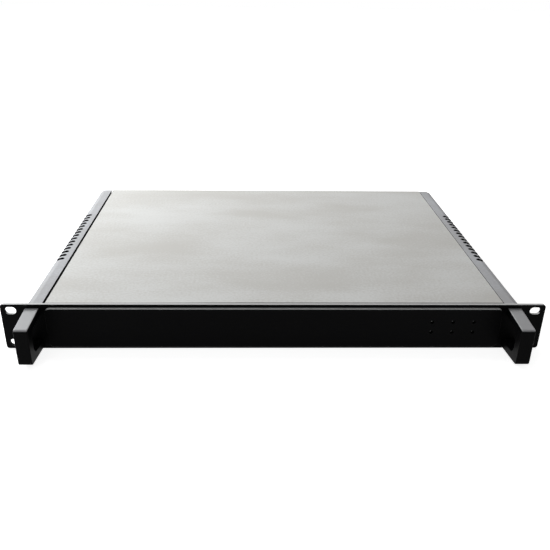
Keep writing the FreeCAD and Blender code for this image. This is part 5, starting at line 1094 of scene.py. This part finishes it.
@dataclass(frozen=True)
class Plug:
    """A moulded plug: a rounded block with ribs, or with a stepped mouth and a shoulder.

    Attributes:
        name: the piece's name.
        low: its lowest corner, in millimetres.
        high: its highest corner, in millimetres.
        axis: the direction along its length.
        ribs: how many ribs it has, or 0 for a mouth at the low end and a shoulder at the high end.
        flip: whether the mouth is at the high end.
        rib: what goes in between two ribs, as shares of their pitch and of the groove's depth.
        groove: the grooves' depth, in millimetres.
        steps: the stepped outline, as shares of the half-length and insets in millimetres.
        corner: exponent of the outline's corners.
    """

    name: str
    low: Point
    high: Point
    axis: Axis = Axis.Y
    ribs: int = 0
    flip: bool = False
    rib: tuple[tuple[float, float], ...] = (
        (0.0, 1.0), (0.08, 1.0), (0.14, 0.0), (0.86, 0.0), (0.92, 1.0), (1.0, 1.0),
    )
    groove: float = 0.4
    steps: tuple[tuple[float, float], ...] = (
        (-1.0, 0.5), (-0.96, 0.25), (-0.2, 0.25), (-0.12, 0.0), (0.5, 0.0), (0.62, 0.35), (0.95, 0.45),
        (1.0, 0.8),
    )
    corner: float = 0.22

    def profile(self, half: float) -> tuple[np.ndarray, np.ndarray]:
        """Gives the outline: places along the plug's length, and how far its sides are set in there.

        Args:
            half: half the plug's length, in metres.

        Returns:
            The places and the insets, in metres.
        """
        if self.ribs:
            shares, depths = np.array(self.rib).T
            pitch = 2.0 * half / self.ribs
            starts = -half + pitch * np.arange(self.ribs)[:, None]
            return (starts + pitch * shares).reshape(-1), np.tile(depths * self.groove * MM, self.ribs)
        shares, insets = np.array(self.steps).T
        if self.flip:
            shares, insets = -shares[::-1], insets[::-1]
        return shares * half, insets * MM

    def mesh(self) -> bpy.types.Mesh:
        """Builds the plug's surface: rounded rectangles, set in by the outline, along its length.

        Returns:
            The mesh.
        """
        along = self.axis.value
        across = 1 - along
        low, high = np.array(self.low) * MM, np.array(self.high) * MM
        middle, half = (low + high) / 2.0, (high - low) / 2.0
        places, insets = self.profile(half[along])
        stations = np.stack([places, half[across] - insets, half[2] - insets], axis=-1)
        rings = rounded_rings(stations, self.corner)
        points = np.empty_like(rings)
        points[..., along], points[..., across], points[..., 2] = rings[..., 0], rings[..., 1], rings[..., 2]
        return loft_mesh(self.name, points + middle)


POWER_CABLES = (
    Cable("main_power_cable", 4.0, 172.7, Stiffness.MEDIUM, (
        (-117.0, 189.3, -2.0), (-117.0, 160.0, -2.0), (-86.0, 150.0, 1.0), (-58.0, 172.0, 4.0),
        (-48.0, 206.0, 5.0), (-43.0, 238.0, 2.8), (-26.3, 238.0, 2.8),
    )),
    Cable("drive_1_power_cable", 2.2, 57.8, Stiffness.LIMP, (
        (-150.0, 189.3, -8.0), (-150.0, 170.15, -8.0), (-159.0, 152.15, -7.2), (-159.0, 133.0, -7.2),
    )),
    Cable("drive_2_power_cable", 2.2, 86.1, Stiffness.LIMP, (
        (-134.0, 189.3, -8.0), (-134.0, 170.15, -8.0), (-85.0, 152.15, -7.2), (-85.0, 133.0, -7.2),
    )),
)
SIGNAL_CABLES = (
    Cable("drive_1_data_cable", 1.8, 180.1, Stiffness.MEDIUM, (
        (-178.0, 133.0, -7.2), (-178.0, 148.7, -7.2), (-150.0, 167.5, -16.5), (-108.0, 164.4, -17.0),
        (-76.0, 173.7, -17.0), (-62.0, 194.6, -14.0), (-47.0, 207.7, -8.7), (-34.5, 207.7, -8.7),
    )),
    Cable("drive_2_data_cable", 1.8, 108.1, Stiffness.MEDIUM, (
        (-104.0, 133.0, -7.2), (-104.0, 146.7, -7.2), (-86.0, 153.0, -14.5), (-62.0, 163.5, -14.5),
        (-50.0, 186.6, -11.0), (-45.0, 200.7, -8.7), (-34.5, 200.7, -8.7),
    )),
    Cable("indicator_cable", 1.3, 219.3, Stiffness.LIMP, (
        (159.1, 7.8, 1.0), (159.1, 29.97, 1.0), (151.56, 69.96, -6.0), (150.4, 112.02, -8.0),
        (154.98, 149.94, -8.0), (154.98, 185.99, -4.0), (151.56, 215.0, -1.7), (139.2, 215.0, -1.7),
    )),
)
POWER_PLUGS = (
    (Plug("main_power_plug", (-26.3, 212.2, -1.7), (-16.7, 263.8, 7.3), ribs=12),),
    (Plug("drive_1_power_plug", (-170.0, 121.0, -9.2), (-148.0, 133.0, -5.2)),),
    (Plug("drive_2_power_plug", (-96.0, 121.0, -9.2), (-74.0, 133.0, -5.2)),),
)
SIGNAL_PLUGS = (
    (
        Plug("drive_1_data_plug", (-184.0, 121.0, -9.2), (-172.0, 133.0, -5.2)),
        Plug("board_1_data_plug", (-34.5, 205.1, -10.0), (-26.5, 210.3, -7.4), Axis.X, flip=True),
    ),
    (
        Plug("drive_2_data_plug", (-110.0, 121.0, -9.2), (-98.0, 133.0, -5.2)),
        Plug("board_2_data_plug", (-34.5, 198.1, -10.0), (-26.5, 203.3, -7.4), Axis.X, flip=True),
    ),
    (Plug("indicator_plug", (132.8, 202.3, -4.2), (139.2, 227.7, 0.8), ribs=10),),
)


@dataclass
class Harness:
    """A set of cables with their plugs, standing for one CAD node.

    Attributes:
        node: the CAD node that it stands for.
        cables: the cables.
        plugs: each cable's own plugs.
    """

    node: str
    cables: Sequence[Cable]
    plugs: Sequence[Sequence[Plug]]

    def build(self, materials: Materials) -> list[bpy.types.Object]:
        """Args:
            materials: the materials by slot.

        Returns:
            The pieces.
        """
        pieces = []
        for cable, plugs in zip(self.cables, self.plugs):
            ends = [add_piece(plug.name, plug.mesh(), "component_black", materials) for plug in plugs]
            piece = add_piece(cable.name, cable.curve(), "cable_black", materials)
            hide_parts(self.node)
            pieces += [*ends, piece]
        return pieces


# ---- small parts on the main board --------------------------------------------------------------
@dataclass(frozen=True)
class Chip:
    """A square chip with legs on all four sides.

    Attributes:
        x: its middle along X, in metres.
        y: its middle along Y.
        half: half its width.
    """

    x: float
    y: float
    half: float


@dataclass
class BoardDetails:
    """Small soldered parts on the main board: chip resistors and capacitors, and the chips' legs.

    Attributes:
        margin: the board's low edges to the first small parts, along X and Y, in metres.
        extent: the size of the field of small parts along X and Y.
        pitch: the spacing of the small parts' grid.
        share: the share of the grid's places that is used.
        seed: the seed of the choice of places.
        part: a small part's half-length, half-width and height.
        solder: how much thicker its ends are than its body.
        cap: how long each end is.
        gap: how much shorter the body is at each end.
        rim: the width of its rounded rims.
        reach: room around a small part, as a multiple of its half-length.
        lookout: the height from which the board is searched for room.
        touch: how far above the board something stands in the way.
        chips: the leaded chips.
        leg_pitch: the spacing of the legs.
        leg_margin: the length of a chip's side without legs, both ends together.
        leg_path: a leg's way out of the chip and down to the board, as places outward and up.
        leg_half: half a leg's width and half its thickness.

    The field's corner and the height of the board's upper face are read from the board's own box.
    """

    margin: tuple[float, float] = (0.004, 0.0022)
    extent: tuple[float, float] = (0.162, 0.164)
    pitch: float = 0.0046
    share: float = 0.62
    seed: int = 11
    part: Point = (0.0010, 0.0005, 0.0006)
    solder: float = 0.00004
    cap: float = 0.0004
    gap: float = 0.0002
    rim: float = 0.0001
    reach: float = 2.2
    lookout: float = 0.03
    touch: float = 0.00001
    chips: tuple[Chip, ...] = (
        Chip(0.004, 0.290, 0.0105), Chip(0.030, 0.300, 0.0045), Chip(0.098, 0.303, 0.0045),
        Chip(0.117, 0.303, 0.0045), Chip(-0.004, 0.268, 0.0050),
    )
    leg_pitch: float = 0.0008
    leg_margin: float = 0.0012
    leg_path: tuple[tuple[float, float], ...] = (
        (-0.0002, 0.0007), (0.0003, 0.0007), (0.0005, 0.0006), (0.0007, 0.0001), (0.0012, 0.0001),
    )
    leg_half: tuple[float, float] = (0.00018, 0.00007)

    def __post_init__(self) -> None:
        """Reads the board's place."""
        low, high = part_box("main_board")
        self.corner = (low[0] + self.margin[0], low[1] + self.margin[1])
        self.top = high[2]

    def obstacles(self) -> list[bpy.types.Object]:
        """Lists the nodes that may stand on the board: those that show, without the shell around it."""
        aside = ("main_board", "top_cover", "cover_screws", "base_tray")
        return [node for name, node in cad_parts.items() if name not in aside and not node.hide_render]

    def free(self, obstacles: Sequence[bpy.types.Object], x: float, y: float) -> bool:
        """Tells whether nothing but the board lies under a small part's place and its surroundings.

        Args:
            obstacles: the nodes that may stand on the board.
            x: the place along X, in metres.
            y: the place along Y, in metres.

        Returns:
            True where the place is free.
        """
        down = Vector((0.0, 0.0, -1.0))
        reach = self.reach * self.part[0]
        for across, along in ((0, 0), (-1, -1), (1, -1), (-1, 1), (1, 1)):
            origin = Vector((x + across * reach, y + along * reach, self.lookout))
            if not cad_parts["main_board"].ray_cast(origin, down)[0]:
                return False
            for node in obstacles:
                hit, place, _, _ = node.ray_cast(origin, down)
                if hit and place.z > self.top + self.touch:
                    return False
        return True

    def small_parts(self) -> tuple[np.ndarray, np.ndarray]:
        """Chooses the small parts' places: a grid with places left out, where the board is free.

        Returns:
            The places, shaped (parts, 3), and the turns in radians.
        """
        bpy.context.view_layer.update()
        obstacles = self.obstacles()
        chance = np.random.default_rng(self.seed)
        columns, rows = (int(size / self.pitch) for size in self.extent)
        places, turns = [], []
        for column in range(columns):
            for row in range(rows):
                kept, turned = chance.random(2)
                x = self.corner[0] + column * self.pitch
                y = self.corner[1] + row * self.pitch
                if kept < self.share and self.free(obstacles, x, y):
                    places.append((x, y, self.top))
                    turns.append(0.0 if turned < 0.5 else math.pi / 2.0)
        return np.array(places), np.array(turns)

    def part_rings(self, low: float, high: float, grow: float) -> np.ndarray:
        """Rounded rectangles along X that stand on the board, smaller by the rim at both ends.

        Args:
            low: where the block starts along X, in metres.
            high: where it ends along X, in metres.
            grow: how much thicker it is than the part's body, in metres.

        Returns:
            Points shaped (rings, points, 3).
        """
        width, height, rim = self.part[1] + grow, (self.part[2] + grow) / 2.0, self.rim
        stations = np.array([
            (low, width - rim, height - rim), (low + rim, width, height), (high - rim, width, height),
            (high, width - rim, height - rim),
        ])
        return rounded_rings(stations, 0.35, around=12) + np.array((0.0, 0.0, height))

    def leg_rings(self) -> np.ndarray:
        """Carries a leg's flat section along its path out of the chip and down to the board.

        Returns:
            Points shaped (rings, points, 3).
        """
        path = np.array(self.leg_path)
        section = np.array([(-1.0, -1.0), (1.0, -1.0), (1.0, 1.0), (-1.0, 1.0)]) * self.leg_half
        rings = np.zeros((len(path), len(section), 3))
        rings[..., 0] = path[:, None, 0]
        rings[..., 1] = section[None, :, 0]
        rings[..., 2] = path[:, None, 1] + section[None, :, 1]
        return rings

    def legs(self) -> tuple[np.ndarray, np.ndarray]:
        """Places the legs along all four sides of each chip.

        Returns:
            The places, shaped (legs, 3), and the turns in radians.
        """
        places, turns = [], []
        for chip in self.chips:
            count = int((2.0 * chip.half - self.leg_margin) / self.leg_pitch)
            offsets = (np.arange(count) - (count - 1) / 2.0) * self.leg_pitch
            for turn in np.arange(4) * math.pi / 2.0:
                x = chip.x + chip.half * math.cos(turn) - offsets * math.sin(turn)
                y = chip.y + chip.half * math.sin(turn) + offsets * math.cos(turn)
                places.append(np.stack([x, y, np.full(count, self.top)], axis=-1))
                turns.append(np.full(count, turn))
        return np.concatenate(places), np.concatenate(turns)

    def build(self, materials: Materials) -> list[bpy.types.Object]:
        """Adds the small parts' bodies and ends, and the chips' legs.

        Args:
            materials: the materials by slot.

        Returns:
            The pieces.
        """
        half = self.part[0]
        bodies = self.part_rings(self.gap - half, half - self.gap, 0.0)
        ends = self.part_rings(-half, half, self.solder)
        low_end, high_end = ends.copy(), ends.copy()
        low_end[..., 0] = np.minimum(ends[..., 0], self.cap - half)
        high_end[..., 0] = np.maximum(ends[..., 0], half - self.cap)
        parts, legs = self.small_parts(), self.legs()
        table = (
            ("board_small_parts", bodies, parts, "component_black"),
            ("board_small_ends_a", low_end, parts, "fastener_steel"),
            ("board_small_ends_b", high_end, parts, "fastener_steel"),
            ("board_chip_legs", self.leg_rings(), legs, "fastener_steel"),
        )
        return [
            add_piece(name, repeated_mesh(name, rings, *where), slot, materials)
            for name, rings, where, slot in table
        ]


# ---- studio and camera --------------------------------------------------------------------------
@dataclass(frozen=True)
class Softbox:
    """A soft lamp that the camera doesn't see.

    Attributes:
        name: the lamp's name.
        place: its middle, in metres.
        target: the point that it faces.
        size: its width and height.
        power: its power, in watts.
        color: its colour.
    """

    name: str
    place: Point
    target: Point
    size: tuple[float, float]
    power: float
    color: Color = WHITE

    def build(self) -> None:
        """Adds the lamp to the scene."""
        data = bpy.data.lights.new(self.name, "AREA")
        data.shape = "RECTANGLE"
        data.size, data.size_y = self.size
        data.energy = self.power
        data.color = self.color
        lamp = bpy.data.objects.new(self.name, data)
        lamp.location = self.place
        lamp.rotation_euler = (Vector(self.target) - Vector(self.place)).to_track_quat("-Z", "Y").to_euler()
        lamp.visible_camera = False
        bpy.context.scene.collection.objects.link(lamp)


@dataclass
class Studio:
    """Floor, soft lights, surroundings and camera.

    Attributes:
        floor: floor colour away from the camera's own rays.
        side: half the floor's side, in metres.
        room: how far the floor is below the object.
        glow: how much the floor adds to its own light for camera, mirror and glass rays.
        fill: strength of the dome on the object.
        dome: the dome's colour.
        lamps: the soft lamps.
        lens: focal length on a 36 mm sensor, in millimetres.
        shift: the camera's small sideways and vertical shift.
        eye: the camera's place.
        yaw: turn to the right of straight back, in degrees.
        pitch: downward look, in degrees.
        roll: turn about the line of sight, in degrees.
    """

    floor: Color = (0.80, 0.80, 0.80)
    side: float = 6.0
    room: float = 0.0003
    glow: float = 0.85
    fill: float = 0.15
    dome: Color = (0.97, 0.985, 1.0)
    lamps: tuple[Softbox, ...] = (
        Softbox("key_softbox", (-0.72, 0.56, 0.56), (-0.03, 0.18, 0.0), (0.6, 0.6), 11.2, (0.98, 1.0, 1.0)),
        Softbox("front_softbox", (-0.5, -1.2, 0.9), (0.0, 0.0, 0.0), (1.0, 0.8), 2.5),
        Softbox("back_softbox", (-0.8, 1.3, 1.9), (0.0, 0.15, 0.0), (1.6, 1.3), 6.7),
        Softbox("warm_softbox", (0.7, 1.4, 1.9), (0.0, 0.15, 0.0), (1.4, 1.3), 3.3, (1.0, 0.90, 0.78)),
    )
    lens: float = 44.3158
    shift: tuple[float, float] = (0.014561, 0.07251)
    eye: Point = (-0.0234896, -0.5377158, 0.2857023)
    yaw: float = 1.7112
    pitch: float = 27.1077
    roll: float = -0.8036

    def camera(self) -> None:
        """Sets the camera in front of the object, above it and a little left of its middle."""
        data = bpy.data.cameras.new("view")
        data.sensor_width = 36.0
        data.lens = self.lens
        data.shift_x, data.shift_y = self.shift
        data.clip_start, data.clip_end = 0.01, 50.0
        camera = bpy.data.objects.new("view", data)
        bpy.context.scene.collection.objects.link(camera)
        yaw, pitch, roll = (math.radians(angle) for angle in (self.yaw, self.pitch, self.roll))
        ahead = Vector((math.sin(yaw) * math.cos(pitch), math.cos(yaw) * math.cos(pitch), -math.sin(pitch)))
        level = Vector((math.cos(yaw), -math.sin(yaw), 0.0))
        below = ahead.cross(level)
        right = math.cos(roll) * level + math.sin(roll) * below
        down = -math.sin(roll) * level + math.cos(roll) * below
        turn = Matrix((right, -down, -ahead)).transposed().to_4x4()
        camera.matrix_world = Matrix.Translation(self.eye) @ turn
        bpy.context.scene.camera = camera

    def seen(self, graph: Graph) -> Socket:
        """Tells camera, glass and mirror rays from the rays that light the object.

        Args:
            graph: the graph that reads the rays.

        Returns:
            The socket, 1 for camera, glass and mirror rays.
        """
        rays = graph.add("LightPath").outputs
        direct = graph.math("MAXIMUM", rays["Is Camera Ray"], rays["Is Transmission Ray"])
        return graph.math("MAXIMUM", direct, rays["Is Glossy Ray"])

    def surroundings(self) -> None:
        """Gives the world its soft fill, and white to camera, mirror and glass rays."""
        world = bpy.data.worlds.new("studio")
        world.use_nodes = True
        world.node_tree.nodes.clear()
        graph = Graph(world.node_tree)
        fill = graph.add("Background", {"Color": rgba(self.dome), "Strength": self.fill}).outputs[0]
        white = graph.add("Background", {"Color": rgba(WHITE), "Strength": 1.0}).outputs[0]
        mixed = graph.add("MixShader", {0: self.seen(graph), 1: fill, 2: white}).outputs[0]
        graph.add("OutputWorld", {"Surface": mixed})
        bpy.context.scene.world = world

    def ground(self) -> None:
        """Lays the pale floor that the object stands on: white to the camera, with the object's shadow."""
        side = self.side
        corners = [(-side, -side, 0.0), (side, -side, 0.0), (side, side, 0.0), (-side, side, 0.0)]
        mesh = bpy.data.meshes.new("floor")
        mesh.from_pydata(corners, [], [(0, 1, 2, 3)])
        floor = bpy.data.objects.new("floor", mesh)
        floor.location.z = CAD_BOX[0].z - self.room
        bpy.context.scene.collection.objects.link(floor)
        material = bpy.data.materials.new("floor")
        material.use_nodes = True
        material.node_tree.nodes.clear()
        graph = Graph(material.node_tree)
        matt = {"Base Color": rgba(self.floor), "Roughness": 0.9, "Specular IOR Level": 0.2}
        plain = graph.add("BsdfPrincipled", matt).outputs[0]
        glow = graph.add("Emission", {"Color": rgba(WHITE), "Strength": self.glow}).outputs[0]
        lit = graph.add("AddShader", {0: plain, 1: glow}).outputs[0]
        surface = graph.add("MixShader", {0: self.seen(graph), 1: plain, 2: lit}).outputs[0]
        graph.add("OutputMaterial", {"Surface": surface})
        mesh.materials.append(material)

    def build(self) -> None:
        """Builds the whole studio, with the camera."""
        bpy.context.scene.view_settings.view_transform = "Standard"
        self.ground()
        self.surroundings()
        for lamp in self.lamps:
            lamp.build()
        self.camera()


# ---- the whole ----------------------------------------------------------------------------------
def dress_frame(materials: Materials) -> None:
    """Gives every CAD node the finish of its own slot, and the memory modules their own.

    Args:
        materials: the materials by slot.
    """
    for name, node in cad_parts.items():
        own = memory_finish(name).material() if name.startswith("memory_module") else None
        for slot in node.material_slots:
            slot.material = own or materials[slot.material.name.split(".")[0]]
        LOG.info("%s: %s", name, ", ".join(slot.material.name for slot in node.material_slots))


def main() -> None:
    """Builds the studio, the scene's own pieces and the frame's finishes, and reports each piece."""
    logging.basicConfig(level=logging.INFO)
    Studio().build()
    materials = {name: finish.material() for name, finish in FINISHES.items()}
    assemblies = (
        Harness("power_cables", POWER_CABLES, POWER_PLUGS),
        Harness("signal_cables", SIGNAL_CABLES, SIGNAL_PLUGS),
        BoardDetails(),
    )
    for assembly in assemblies:
        for piece in assembly.build(materials):
            LOG.info("%s: %s", piece.name, piece.data.materials[0].name)
    dress_frame(materials)


if __name__ == "__main__":
    main()
